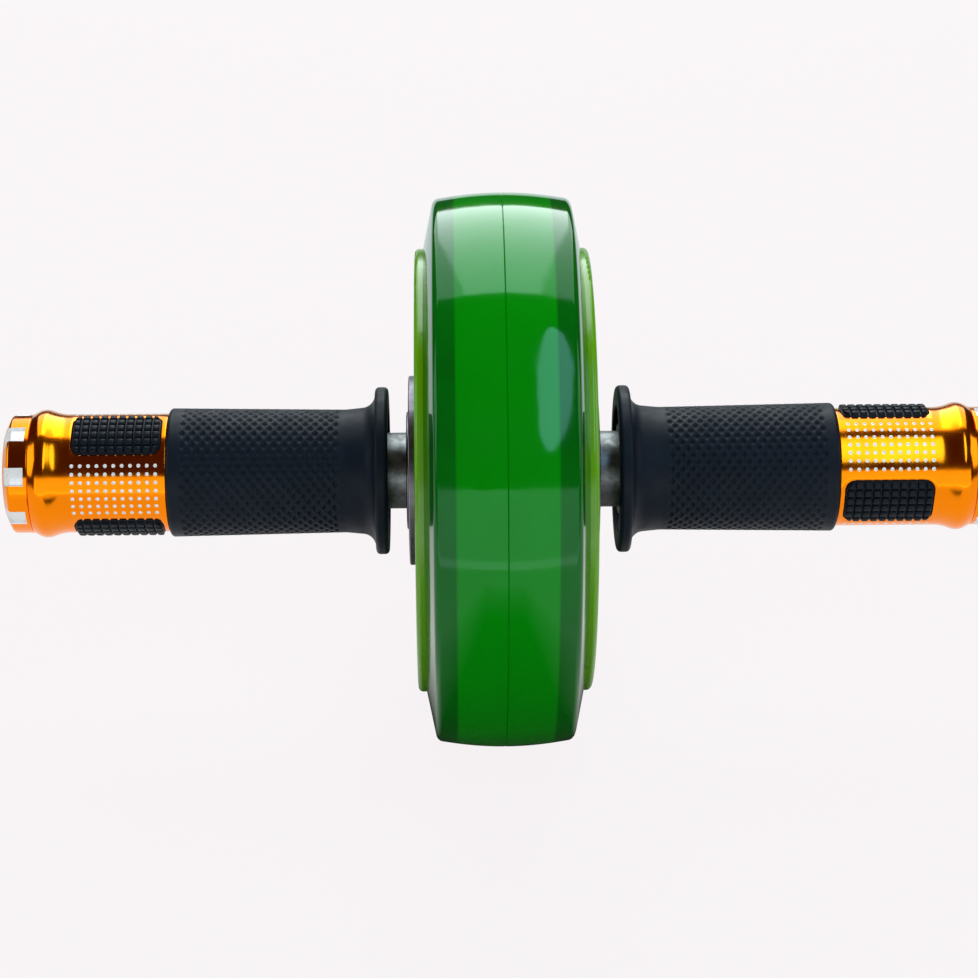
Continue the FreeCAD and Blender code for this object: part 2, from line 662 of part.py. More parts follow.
os.makedirs("parts", exist_ok=True)
for name, shape in parts.items():
    shape.exportStep("parts/" + name + ".step")
    print(f"{name}: {len(shape.Solids)} solids, {shape.Volume / 1000:.2f} cm3, valid {shape.isValid()}")
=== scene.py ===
# %% [markdown]
# Ab wheel roller: one wide green wheel that turns on a steel bar, with a rubber grip and an orange metal barrel
# at each end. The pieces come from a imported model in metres, with X along the bar, Z up and the origin in
# the middle of the bar. This lesson keeps the pieces whose shape is right, and models again those that need
# texture you can see: the tyre, the grips, the barrels, their rubber pads and the end caps.

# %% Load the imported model
import math

import bmesh
import bpy
from mathutils import Matrix, Quaternion, Vector


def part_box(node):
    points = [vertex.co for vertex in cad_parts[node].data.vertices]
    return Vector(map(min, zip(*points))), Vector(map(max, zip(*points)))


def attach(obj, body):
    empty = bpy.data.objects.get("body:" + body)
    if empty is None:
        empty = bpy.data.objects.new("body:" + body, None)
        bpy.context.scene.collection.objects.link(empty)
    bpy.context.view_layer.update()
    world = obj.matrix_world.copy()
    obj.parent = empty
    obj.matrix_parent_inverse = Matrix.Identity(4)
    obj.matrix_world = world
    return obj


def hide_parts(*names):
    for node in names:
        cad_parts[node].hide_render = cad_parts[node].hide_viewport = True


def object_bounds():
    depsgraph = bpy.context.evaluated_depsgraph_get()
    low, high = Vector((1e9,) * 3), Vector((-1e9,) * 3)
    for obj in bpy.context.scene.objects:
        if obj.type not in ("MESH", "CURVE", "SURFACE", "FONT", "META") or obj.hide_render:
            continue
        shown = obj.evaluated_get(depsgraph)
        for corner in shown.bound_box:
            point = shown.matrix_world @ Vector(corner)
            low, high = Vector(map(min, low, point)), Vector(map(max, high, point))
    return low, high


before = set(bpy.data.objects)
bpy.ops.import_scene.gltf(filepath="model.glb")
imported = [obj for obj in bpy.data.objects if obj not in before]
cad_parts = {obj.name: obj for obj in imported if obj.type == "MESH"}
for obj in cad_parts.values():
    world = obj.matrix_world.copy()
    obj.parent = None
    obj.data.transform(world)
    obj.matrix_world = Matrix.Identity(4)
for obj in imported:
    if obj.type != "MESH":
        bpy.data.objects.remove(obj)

MM = 0.001
cad_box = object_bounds()

# %% [markdown]
# The camera comes first, because every piece is seen through it. It could be placed by eye, but the picture
# gives enough to work it out: the wheel is 160 mm tall and 554 pixels high, so a pixel is about 0.29 mm, and the
# long lens follows from how little the grips shrink with distance. The camera looks down at 36 degrees, from a
# touch to the left.

# %% Camera
PICTURE_PIXELS = 978
SENSOR_WIDTH = 36.0
PIXELS_PER_METRE = 3447.0
FOCAL_PIXELS = 2758.0
CAMERA_ELEVATION = math.radians(36.4)
CAMERA_YAW = math.radians(1.017)
CAMERA_ROLL = math.radians(0.092)
BAR_CENTRE_PIXEL = Vector((502.5, 469.6))


def make_camera():
    """Camera that sees the middle of the bar at its pixel in the picture."""
    data = bpy.data.cameras.new("camera")
    data.sensor_width = SENSOR_WIDTH
    data.lens = FOCAL_PIXELS / PICTURE_PIXELS * SENSOR_WIDTH
    flat = math.cos(CAMERA_ELEVATION)
    back = Vector((-math.sin(CAMERA_YAW) * flat, -math.cos(CAMERA_YAW) * flat, math.sin(CAMERA_ELEVATION)))
    turn = back.to_track_quat("Z", "Y") @ Quaternion((0, 0, 1), CAMERA_ROLL)
    middle = Vector((PICTURE_PIXELS / 2, PICTURE_PIXELS / 2))
    shift = (middle - BAR_CENTRE_PIXEL) / PIXELS_PER_METRE
    aim = turn @ Vector((shift.x, -shift.y, 0))
    camera = bpy.data.objects.new("camera", data)
    camera.rotation_mode = "QUATERNION"
    camera.rotation_quaternion = turn
    camera.location = aim + back * FOCAL_PIXELS / PIXELS_PER_METRE
    bpy.context.scene.collection.objects.link(camera)
    return camera


bpy.context.scene.camera = make_camera()
bpy.context.scene.view_settings.view_transform = "Standard"
print("camera at", [round(value, 3) for value in bpy.context.scene.camera.location])

# %% [markdown]
# Nearly every piece of this roller is turned on a lathe or moulded in a turned tool. So the two basic helpers
# are an outline with rounded corners, and rings of points round the bar that are bridged with faces. Blender has
# a Screw modifier for this, but with our own rings we can stop half way and work a pattern into the wall. Angles
# start at the front of the part and go up towards the top.

# %% Outlines and rings
ARC_STEP = math.radians(6.0)
LONGEST_CHORD = 1.0 * MM


def rounded(corners):
    """Points along a closed outline of corners (place along the bar, radius, rounding)."""
    points = []
    for i, (x, r, rounding) in enumerate(corners):
        corner = Vector((x, r))
        if rounding == 0:
            points.append(corner)
            continue
        back = (Vector(corners[i - 1][:2]) - corner).normalized()
        ahead = (Vector(corners[(i + 1) % len(corners)][:2]) - corner).normalized()
        half = back.angle(ahead) / 2
        centre = corner + (back + ahead).normalized() * rounding / math.sin(half)
        start = (corner + back * rounding / math.tan(half) - centre).normalized()
        end = (corner + ahead * rounding / math.tan(half) - centre).normalized()
        sweep = start.angle(end)
        steps = max(2, math.ceil(sweep / ARC_STEP), math.ceil(sweep * rounding / LONGEST_CHORD))
        points += [centre + start.slerp(end, k / steps) * rounding for k in range(steps + 1)]
    return points


def at(x, r, angle):
    """Point at a place along the bar, a radius and an angle from the front."""
    return (x, -r * math.cos(angle), r * math.sin(angle))


def ring(bm, x, r, angles):
    return [bm.verts.new(at(x, r, angle)) for angle in angles]


def bridge(bm, first, second, material=0):
    """Faces between two closed rings with the same number of points."""
    for k in range(len(first)):
        face = bm.faces.new((first[k - 1], first[k], second[k], second[k - 1]))
        face.material_index = material


def even_angles(count, first=0.0):
    return [first + k * math.tau / count for k in range(count)]


def shown(bm, name, finishes, sharp_degrees):
    """Turns the finished faces into an object with smooth faces and sharp corners."""
    bmesh.ops.recalc_face_normals(bm, faces=bm.faces)
    mesh = bpy.data.meshes.new(name)
    bm.to_mesh(mesh)
    bm.free()
    mesh.shade_smooth()
    mesh.set_sharp_from_angle(angle=math.radians(sharp_degrees))
    for finish in finishes:
        mesh.materials.append(finish)
    piece = bpy.data.objects.new(name, mesh)
    bpy.context.scene.collection.objects.link(piece)
    print(name, len(mesh.vertices), "points", len(mesh.polygons), "faces")
    return piece


def in_place(piece, body, node):
    """The piece rides on a body and stands for a node, which is hidden."""
    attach(piece, body)
    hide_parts(node)


print("rounded square has", len(rounded([(0, 0, 0), (1, 0, 0.1), (1, 1, 0.1), (0, 1, 0)])), "points")

# %% [markdown]
# Materials share a few effects, so each effect is a node group that is built once. Tone drift mixes two colours
# with soft clouds. Uneven gloss gives a roughness that wanders between two values, as handling leaves it. Fine
# grain is the skin that a mould leaves, turning marks are the rings that a lathe leaves, edge wear and highlight
# finds the corners where a finish rubs thin and where a lighter colour paints in a highlight, and dust is a scatter
# of small specks. Typing the nodes into each material would also work, but then a change has to be made many times.

# %% Helpers for nodes
def add(tree, kind, **values):
    """A node whose input sockets are set, or linked, by name."""
    node = tree.nodes.new(kind)
    for name, value in values.items():
        feed(tree, node.inputs[name.replace("_", " ")], value)
    return node


def feed(tree, socket, value):
    """Sets a socket to a plain value or links it to another node's output."""
    if isinstance(value, bpy.types.NodeSocket):
        tree.links.new(value, socket)
    else:
        socket.default_value = value


def sums(tree, operation, first, second=0.0):
    """Output of a Math node."""
    node = tree.nodes.new("ShaderNodeMath")
    node.operation = operation
    feed(tree, node.inputs[0], first)
    feed(tree, node.inputs[1], second)
    return node.outputs[0]


def mixed(tree, share, first, second):
    """Output of a Mix node between two colours."""
    node = tree.nodes.new("ShaderNodeMix")
    node.data_type = "RGBA"
    feed(tree, node.inputs[0], share)
    feed(tree, node.inputs[6], first)
    feed(tree, node.inputs[7], second)
    return node.outputs[2]


def spread(tree, value, low, high, new_low=0.0, new_high=1.0):
    """Output of a Map Range node."""
    node = add(tree, "ShaderNodeMapRange", Value=value, From_Min=low, From_Max=high,
               To_Min=new_low, To_Max=new_high)
    return node.outputs[0]


def new_group(name, inputs, outputs):
    """Empty node group with named sockets, given as (name, kind, default)."""
    group = bpy.data.node_groups.new(name, "ShaderNodeTree")
    for label, kind, default in inputs:
        socket = group.interface.new_socket(label, in_out="INPUT", socket_type=kind)
        socket.default_value = default
    for label, kind in outputs:
        group.interface.new_socket(label, in_out="OUTPUT", socket_type=kind)
    entry = group.nodes.new("NodeGroupInput")
    leave = group.nodes.new("NodeGroupOutput")
    return group, entry.outputs, leave.inputs


NUMBER = "NodeSocketFloat"
COLOUR = "NodeSocketColor"
print("node helpers ready")


# %% Effects that several finishes share
def clouds(group, scale, detail):
    """Noise on the part's own coordinates, in features per metre."""
    place = group.nodes.new("ShaderNodeTexCoord").outputs["Object"]
    return add(group, "ShaderNodeTexNoise", Vector=place, Scale=scale, Detail=detail).outputs[0]


def make_tone_drift():
    group, given, result = new_group(
        "Tone drift",
        [("First", COLOUR, (1, 1, 1, 1)), ("Second", COLOUR, (0, 0, 0, 1)), ("Scale", NUMBER, 50.0)],
        [("Color", COLOUR)],
    )
    share = spread(group, clouds(group, given["Scale"], 4.0), 0.3, 0.7)
    feed(group, result["Color"], mixed(group, share, given["First"], given["Second"]))
    return group


def make_uneven_gloss():
    group, given, result = new_group(
        "Uneven gloss",
        [("Low", NUMBER, 0.2), ("High", NUMBER, 0.4), ("Scale", NUMBER, 80.0)],
        [("Roughness", NUMBER)],
    )
    share = clouds(group, given["Scale"], 5.0)
    feed(group, result["Roughness"], spread(group, share, 0.3, 0.7, given["Low"], given["High"]))
    return group


def make_fine_grain():
    group, given, result = new_group("Fine grain", [("Scale", NUMBER, 2000.0)], [("Height", NUMBER)])
    feed(group, result["Height"], clouds(group, given["Scale"], 2.0))
    return group


def make_turning_marks():
    group, given, result = new_group("Turning marks", [("Scale", NUMBER, 400.0)], [("Height", NUMBER)])
    place = group.nodes.new("ShaderNodeTexCoord").outputs["Object"]
    wave = add(group, "ShaderNodeTexWave", Vector=place, Scale=given["Scale"], Distortion=1.5, Detail=3.0)
    wave.wave_type = "RINGS"
    wave.rings_direction = "X"
    feed(group, result["Height"], wave.outputs["Fac"])
    return group


def make_edge_wear_and_highlight():
    group, given, result = new_group(
        "Edge wear and highlight",
        [("Width", NUMBER, 0.0004), ("Scale", NUMBER, 600.0)],
        [("Mask", NUMBER)],
    )
    # The corners found here are painted lighter as wear, and on plastic and orange metal also as a painted
    # highlight.
    soft = add(group, "ShaderNodeBevel", Radius=given["Width"]).outputs[0]
    true = group.nodes.new("ShaderNodeNewGeometry").outputs["Normal"]
    match = group.nodes.new("ShaderNodeVectorMath")
    match.operation = "DOT_PRODUCT"
    feed(group, match.inputs[0], soft)
    feed(group, match.inputs[1], true)
    corner = spread(group, match.outputs["Value"], 0.99, 0.85)
    patchy = spread(group, clouds(group, given["Scale"], 3.0), 0.35, 0.6)
    feed(group, result["Mask"], sums(group, "MULTIPLY", corner, patchy))
    return group


def make_dust():
    group, given, result = new_group(
        "Dust",
        [("Scale", NUMBER, 900.0), ("Amount", NUMBER, 0.1)],
        [("Mask", NUMBER)],
    )
    place = group.nodes.new("ShaderNodeTexCoord").outputs["Object"]
    cells = add(group, "ShaderNodeTexVoronoi", Vector=place, Scale=given["Scale"])
    speck = spread(group, cells.outputs["Distance"], 0.12, 0.05)
    pick = sums(group, "LESS_THAN", cells.outputs["Color"], given["Amount"])
    feed(group, result["Mask"], sums(group, "MULTIPLY", speck, pick))
    return group


TONE_DRIFT = make_tone_drift()
UNEVEN_GLOSS = make_uneven_gloss()
FINE_GRAIN = make_fine_grain()
TURNING_MARKS = make_turning_marks()
EDGE_WEAR_AND_HIGHLIGHT = make_edge_wear_and_highlight()
DUST = make_dust()
print("effects", [group.name for group in bpy.data.node_groups])


# %% Start of a finish
def new_finish(name):
    """Material with a Principled shader, and its node tree."""
    finish = bpy.data.materials.new(name)
    finish.use_nodes = True
    return finish, finish.node_tree, finish.node_tree.nodes["Principled BSDF"]


def effect(tree, group, output, **values):
    """One output of a shared effect, placed with its own values."""
    node = tree.nodes.new("ShaderNodeGroup")
    node.node_tree = group
    for name, value in values.items():
        feed(tree, node.inputs[name], value)
    return node.outputs[output]


def bump(tree, height, depth, under=None):
    """Normal from a height, with its depth in metres, on top of another normal if there is one."""
    node = add(tree, "ShaderNodeBump", Height=height, Distance=depth)
    if under is not None:
        feed(tree, node.inputs["Normal"], under)
    return node.outputs[0]


def drift(tree, colour, lighter, scale):
    """Colour that wanders between itself and a lighter or darker tone."""
    second = tuple(min(1.0, part * lighter) for part in colour)
    return effect(tree, TONE_DRIFT, "Color", First=(*colour, 1), Second=(*second, 1), Scale=scale)


print("finish helpers ready")

# %% [markdown]
# The tyre is cast in clear green rubber. Over the hub's band it looks bright, and past the band's edges the same
# rubber looks darker. A see-through material with real depth could show this, but it is slow and would hang on
# what lies inside. The two tones are painted by the distance from the middle plane instead. The gloss is strong
# and even, with a very slight swell in the casting that bends the reflections.

# %% Tyre finish
tyre_low, tyre_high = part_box("tyre")
WHEEL_X = (tyre_low.x + tyre_high.x) / 2
BAND_HALF_WIDTH = 13.65 * MM
BAND_EDGE_BLUR = 0.35 * MM
GREEN_BAND = (0.0008, 0.215, 0.002)
GREEN_SHOULDER = (0.0005, 0.128, 0.004)


def tyre_finish():
    finish, tree, shader = new_finish("clear_green_rubber")
    place = tree.nodes.new("ShaderNodeTexCoord").outputs["Object"]
    across = add(tree, "ShaderNodeSeparateXYZ", Vector=place).outputs["X"]
    away = sums(tree, "ABSOLUTE", sums(tree, "SUBTRACT", across, WHEEL_X))
    past = spread(tree, away, BAND_HALF_WIDTH - BAND_EDGE_BLUR, BAND_HALF_WIDTH + BAND_EDGE_BLUR)
    band = drift(tree, GREEN_BAND, 1.12, 45.0)
    shoulder = drift(tree, GREEN_SHOULDER, 0.8, 60.0)
    rubber = mixed(tree, past, band, shoulder)
    specks = effect(tree, DUST, "Mask", Scale=700.0, Amount=0.03)
    feed(tree, shader.inputs["Base Color"], mixed(tree, specks, rubber, (0.2, 0.35, 0.22, 1)))
    gloss = effect(tree, UNEVEN_GLOSS, "Roughness", Low=0.05, High=0.11, Scale=70.0)
    feed(tree, shader.inputs["Roughness"], gloss)
    shader.inputs["IOR"].default_value = 1.6
    shader.inputs["Specular Tint"].default_value = (0.3, 0.52, 0.42, 1)
    swell = effect(tree, FINE_GRAIN, "Height", Scale=75.0)
    feed(tree, shader.inputs["Normal"], bump(tree, swell, 0.06 * MM))
    return finish


TYRE_FINISH = tyre_finish()
print("tyre finish ready")

# %% [markdown]
# The tyre itself is one ring: a crowned tread with a fine seam where the mould parts, rounded shoulders, sloping
# sidewalls and a skirt behind the hub's lips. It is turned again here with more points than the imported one, so
# that the reflections of the lamps run smoothly along it.

# %% Tyre
R_TREAD = tyre_high.z
X_SIDEWALL_FOOT = tyre_high.x - WHEEL_X
TREAD_HALF_WIDTH = 19.5 * MM
CROWN_RADIUS = 98.0 * MM
SHOULDER_ROUNDING = 2.2 * MM
FOOT_ROUNDING = 0.4 * MM
R_SIDEWALL_FOOT = 64.0 * MM
X_SKIRT = X_SIDEWALL_FOOT - 1.0 * MM
R_SKIRT = 58.0 * MM
R_BAND = 70.0 * MM
SEAM_HALF_WIDTH = 0.2 * MM
SEAM_DEPTH = 0.25 * MM
TYRE_SEGMENTS = 360


def tyre_outline():
    """Closed outline of the tyre with a groove for the seam."""
    slope = math.asin((TREAD_HALF_WIDTH - 2 * SHOULDER_ROUNDING) / CROWN_RADIUS)
    crown = R_TREAD + CROWN_RADIUS * (1 / math.cos(slope) - 1)
    side = [
        (TREAD_HALF_WIDTH, crown - TREAD_HALF_WIDTH * math.tan(slope), SHOULDER_ROUNDING),
        (X_SIDEWALL_FOOT, R_SIDEWALL_FOOT, FOOT_ROUNDING),
        (X_SKIRT, R_SIDEWALL_FOOT, 0),
        (X_SKIRT, R_SKIRT, 0),
        (BAND_HALF_WIDTH, R_SKIRT, 0),
        (BAND_HALF_WIDTH, R_BAND, 0),
    ]
    other_side = [(-x, r, rounding) for x, r, rounding in reversed(side)]
    points = rounded([(0, crown, CROWN_RADIUS)] + side + other_side)
    start = next(i for i, point in enumerate(points) if point.x > -SEAM_HALF_WIDTH)
    end = next(i for i, point in enumerate(points) if point.x > SEAM_HALF_WIDTH)
    seam = [(-SEAM_HALF_WIDTH, R_TREAD), (0, R_TREAD - SEAM_DEPTH), (SEAM_HALF_WIDTH, R_TREAD)]
    return points[:start] + [Vector(point) for point in seam] + points[end:]


def make_tyre():
    bm = bmesh.new()
    rings = [ring(bm, WHEEL_X + p.x, p.y, even_angles(TYRE_SEGMENTS)) for p in tyre_outline()]
    for k in range(len(rings)):
        bridge(bm, rings[k - 1], rings[k])
    return shown(bm, "green_tyre", [TYRE_FINISH], 35)


in_place(make_tyre(), "wheel", "tyre")

# %% [markdown]
# The hub is moulded in lime green plastic, and its shape is already right, so the imported halves stay and only get
# a finish. Moulded plastic has a faint grain, a gloss that wanders a little, and corners painted lighter, partly as
# wear and partly as a painted highlight.

# %% Hub finish
LIME = (0.135, 0.4, 0.001)


def plastic_finish(name, colour, gloss_low, gloss_high, worn_and_highlight):
    """Moulded plastic with grain, uneven gloss, and corners painted lighter as wear and as a painted highlight."""
    finish, tree, shader = new_finish(name)
    corners = effect(tree, EDGE_WEAR_AND_HIGHLIGHT, "Mask", Width=0.5 * MM, Scale=500.0)
    # Lighter corners: partly wear, partly a painted highlight along the edges.
    feed(tree, shader.inputs["Base Color"], mixed(tree, corners, drift(tree, colour, 0.85, 70.0), (*worn_and_highlight, 1)))
    gloss = effect(tree, UNEVEN_GLOSS, "Roughness", Low=gloss_low, High=gloss_high, Scale=110.0)
    feed(tree, shader.inputs["Roughness"], gloss)
    grain = effect(tree, FINE_GRAIN, "Height", Scale=1400.0)
    feed(tree, shader.inputs["Normal"], bump(tree, grain, 0.01 * MM))
    return finish


def dress(finish, *nodes):
    """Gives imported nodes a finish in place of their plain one."""
    for node in nodes:
        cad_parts[node].data.materials[0] = finish
    print(finish.name, "on", *nodes)


def both(name):
    """The left and right nodes of one name."""
    return ["left_" + name, "right_" + name]


dress(plastic_finish("lime_plastic", LIME, 0.16, 0.28, (0.24, 0.52, 0.04)), *both("hub_half"))

# %% [markdown]
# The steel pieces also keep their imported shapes. The bar is a drawn tube with a mottled skin, the bearing covers,
# spacer and plugs carry rings from the lathe, and the screws, races and balls are smoother. One function makes
# them all, because only the tone, the gloss and the strength of the marks differ.

# %% Steel finishes
def steel_finish(name, colour, gloss_low, gloss_high, marks, mottle):
    """Bare metal with turning marks, in metres of depth, and a mottled tone."""
    finish, tree, shader = new_finish(name)
    corners = effect(tree, EDGE_WEAR_AND_HIGHLIGHT, "Mask", Width=0.3 * MM, Scale=800.0)
    tone = drift(tree, colour, mottle, 420.0)
    feed(tree, shader.inputs["Base Color"], mixed(tree, corners, tone, (0.8, 0.8, 0.8, 1)))
    shader.inputs["Metallic"].default_value = 1.0
    gloss = effect(tree, UNEVEN_GLOSS, "Roughness", Low=gloss_low, High=gloss_high, Scale=500.0)
    feed(tree, shader.inputs["Roughness"], gloss)
    rings = effect(tree, TURNING_MARKS, "Height", Scale=900.0)
    feed(tree, shader.inputs["Normal"], bump(tree, rings, marks))
    return finish


dress(steel_finish("drawn_steel", (0.23, 0.25, 0.25), 0.3, 0.5, 0.004 * MM, 0.5), "axle_tube")
dress(steel_finish("cover_steel", (0.2, 0.19, 0.22), 0.28, 0.42, 0.006 * MM, 0.8), *both("bearing_cover"))
dress(steel_finish("turned_steel", (0.5, 0.5, 0.5), 0.25, 0.4, 0.008 * MM, 0.8),
      "bearing_spacer", *both("tube_plug"))
dress(steel_finish("screw_steel", (0.55, 0.55, 0.56), 0.2, 0.35, 0.003 * MM, 0.75),
      "hub_screws", *both("cover_screws"), *both("end_screw"))
dress(steel_finish("bearing_steel", (0.62, 0.62, 0.63), 0.08, 0.16, 0.001 * MM, 0.9),
      *both("bearing_inner_race"), *both("bearing_outer_race"), *both("bearing_balls"))
dress(steel_finish("spring_steel", (0.12, 0.12, 0.13), 0.3, 0.45, 0.002 * MM, 0.8), *both("circlip"))

# %% [markdown]
# The nylon and rubber pieces inside are seen only when the part is taken to pieces, but each still gets its own
# finish. The sleeves and the ball cages are plain mouldings, and the seals are black rubber.

# %% Finishes of the inner pieces
dress(plastic_finish("black_nylon", (0.02, 0.02, 0.022), 0.35, 0.5, (0.06, 0.06, 0.06)), *both("grip_sleeve"))
dress(plastic_finish("cage_nylon", (0.5, 0.42, 0.28), 0.3, 0.45, (0.6, 0.55, 0.42)), *both("ball_cage"))
dress(plastic_finish("seal_rubber", (0.015, 0.015, 0.016), 0.45, 0.6, (0.05, 0.05, 0.05)), *both("bearing_seals"))

# %% [markdown]
# The grips and pads are blue-black rubber: dark, half matt, with a fine skin and a little pale dust. The real
# grips have a net of crossing ridges with small sunken lozenges between them. A bump map would give the shading
# but not the outline, so the net is modelled.

# %% Rubber finish
GRIP_RUBBER = (0.0025, 0.006, 0.0122)
PAD_RUBBER = (0.0035, 0.0065, 0.0108)


def rubber_finish(name, colour, gloss_low, gloss_high):
    finish, tree, shader = new_finish(name)
    specks = effect(tree, DUST, "Mask", Scale=1500.0, Amount=0.05)
    tone = drift(tree, colour, 1.35, 160.0)
    feed(tree, shader.inputs["Base Color"], mixed(tree, specks, tone, (0.02, 0.024, 0.028, 1)))
    shader.inputs["Specular IOR Level"].default_value = 0.15
    gloss = effect(tree, UNEVEN_GLOSS, "Roughness", Low=gloss_low, High=gloss_high, Scale=200.0)
    feed(tree, shader.inputs["Roughness"], gloss)
    skin = effect(tree, FINE_GRAIN, "Height", Scale=2600.0)
    feed(tree, shader.inputs["Normal"], bump(tree, skin, 0.02 * MM))
    return finish


GRIP_FINISH = rubber_finish("grip_rubber", GRIP_RUBBER, 0.42, 0.58)
PAD_FINISH = rubber_finish("pad_rubber", PAD_RUBBER, 0.36, 0.5)
print("rubber finishes ready")

# %% [markdown]
# The net is laid out on a lattice that goes round the grip. Each lozenge has four tips and four mid points that
# it shares with its neighbours, so the ridges join without a gap. Inside it lie a rim and a sunken floor. The
# rest of the grip, with its recessed hand flange and smooth neck, is turned with the same number of points, so
# the whole grip is one closed skin.

# %% Sizes of the grip
grip_low, grip_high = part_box("right_rubber_grip")
X_FLANGE = grip_low.x + 0.6 * MM
X_GRIP_END = grip_high.x - 1.1 * MM
R_FLANGE = grip_high.z
R_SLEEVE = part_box("right_grip_sleeve")[1].z
FIT = 0.02 * MM
R_NECK = 17.8 * MM
R_GRIP_END = 18.6 * MM
X_NECK = X_FLANGE + 12.4 * MM
FLANGE_THICKNESS = 3.7 * MM
RECESS_DEPTH = 3.2 * MM
R_RECESS = 18.7 * MM
NET_MARGIN_NECK = 1.0 * MM
NET_MARGIN_END = 3.2 * MM
NET_COLUMNS = 16
NET_ROWS = 30
PIT_DEPTH = 0.48 * MM
PIT_RIM = 0.72
PIT_FLOOR = 0.4
LATTICE_ALONG = 4 * NET_COLUMNS
LATTICE_ROUND = 4 * NET_ROWS
X_NET_START = X_NECK + NET_MARGIN_NECK
X_NET_END = X_GRIP_END - NET_MARGIN_END


def grip_radius(x):
    """Radius of the tapered body of the grip."""
    return R_NECK + (R_GRIP_END - R_NECK) * (x - X_NECK) / (X_GRIP_END - X_NECK)


def grip_outline():
    return rounded([
        (X_FLANGE + RECESS_DEPTH, R_SLEEVE + FIT, 0),
        (X_FLANGE + RECESS_DEPTH, R_RECESS, 0.4 * MM),
        (X_FLANGE, R_RECESS, 0.4 * MM),
        (X_FLANGE, R_FLANGE, 1.2 * MM),
        (X_FLANGE + FLANGE_THICKNESS, R_FLANGE, 1.2 * MM),
        (X_FLANGE + FLANGE_THICKNESS + 0.4 * MM, R_GRIP_END, 4.0 * MM),
        (X_NECK, R_NECK, 8.7 * MM),
        (X_GRIP_END, R_GRIP_END, 1.2 * MM),
        (X_GRIP_END, R_SLEEVE + FIT, 0),
    ])


print("net of", NET_COLUMNS, "by", NET_ROWS, "lozenges from", round(X_NET_START, 4), "to", round(X_NET_END, 4))


# %% Grip
class Net:
    """The lattice of one grip: points are made once and found again by their place."""

    def __init__(self, bm, side):
        self.bm = bm
        self.side = side
        self.points = {}

    def place(self, along, around, depth=0.0):
        x = X_NET_START + (X_NET_END - X_NET_START) * along / LATTICE_ALONG
        return at(self.side * x, grip_radius(x) - depth, around * math.tau / LATTICE_ROUND)

    def point(self, along, around):
        key = (along, around % LATTICE_ROUND)
        if key not in self.points:
            self.points[key] = self.bm.verts.new(self.place(*key))
        return self.points[key]

    def lozenge(self, along, around):
        """Ridges, sloping walls and sunken floor of one lozenge."""
        steps = [(2, 0), (1, 1), (0, 2), (-1, 1), (-2, 0), (-1, -1), (0, -2), (1, -1)]
        outside = [self.point(along + a, around + b) for a, b in steps]
        for share, depth in [(PIT_RIM, 0.05 * PIT_DEPTH), (PIT_FLOOR, PIT_DEPTH)]:
            inside = []
            for a, b in steps:
                pull = share * (0.86 if a * b == 0 else 1.08)
                inside.append(self.bm.verts.new(self.place(along + pull * a, around + pull * b, depth)))
            bridge(self.bm, outside, inside)
            outside = inside
        self.bm.faces.new(outside)

    def border(self, edge, inward):
        """Fills the notches between the last lozenges and the smooth ring at one end of the net."""
        for k in range(0, LATTICE_ROUND, 4):
            for turn in (1, -1):
                tip = self.point(edge, k)
                ring_point = self.point(edge, k + turn)
                ring_middle = self.point(edge, k + 2 * turn)
                near = self.point(edge + inward, k + turn)
                far = self.point(edge + 2 * inward, k + 2 * turn)
                self.bm.faces.new((tip, ring_point, near))
                self.bm.faces.new((ring_point, ring_middle, far, near))

    def ring_at(self, edge):
        return [self.point(edge, k) for k in range(LATTICE_ROUND)]


def make_grip(side, name):
    bm = bmesh.new()
    net = Net(bm, side)
    for column in range(NET_COLUMNS):
        for row in range(NET_ROWS):
            net.lozenge(4 * column + 2, 4 * row)
            if column < NET_COLUMNS - 1:
                net.lozenge(4 * column + 4, 4 * row + 2)
    net.border(0, 1)
    net.border(LATTICE_ALONG, -1)
    angles = even_angles(LATTICE_ROUND)
    points = grip_outline()
    split = max(i for i, p in enumerate(points) if p.x < X_NET_START and p.y > R_SLEEVE + FIT) + 1
    neck_rings = [ring(bm, side * p.x, p.y, angles) for p in points[:split]]
    end_rings = [ring(bm, side * p.x, p.y, angles) for p in points[split:]]
    rings = [net.ring_at(LATTICE_ALONG)] + end_rings + neck_rings + [net.ring_at(0)]
    for first, second in zip(rings, rings[1:]):
        bridge(bm, first, second)
    return shown(bm, name, [GRIP_FINISH], 60)


SIDES = {"left": -1, "right": 1}
for hand, side in SIDES.items():
    in_place(make_grip(side, hand + "_diamond_grip"), "bar", hand + "_rubber_grip")

# %% [markdown]
# The barrels and end caps are aluminium, dyed orange after turning. Under the dye it is still metal, so it takes
# its look from what it reflects: orange where the room is white, yellow where a lamp is, and nearly black where
# the room is dark. Slots and dimples are cut after dyeing, so they are bare metal, drawn near white and mostly
# matt: the pale tone of cut metal plus a painted reflection, so that they look bright from every side.

# %% Orange and bare aluminium
ORANGE = (0.95, 0.245, 0.003)
CUT_METAL_AND_GLINT = (0.96, 0.955, 0.94)


def orange_finish():
    finish, tree, shader = new_finish("orange_aluminium")
    corners = effect(tree, EDGE_WEAR_AND_HIGHLIGHT, "Mask", Width=0.25 * MM, Scale=700.0)
    dye = drift(tree, ORANGE, 0.93, 55.0)
    # Pale orange on the corners: partly worn dye, partly a painted highlight along the edges.
    feed(tree, shader.inputs["Base Color"], mixed(tree, corners, dye, (1.0, 0.55, 0.2, 1)))
    shader.inputs["Metallic"].default_value = 1.0
    gloss = effect(tree, UNEVEN_GLOSS, "Roughness", Low=0.13, High=0.2, Scale=130.0)
    feed(tree, shader.inputs["Roughness"], gloss)
    rings = effect(tree, TURNING_MARKS, "Height", Scale=1500.0)
    feed(tree, shader.inputs["Normal"], bump(tree, rings, 0.001 * MM))
    return finish


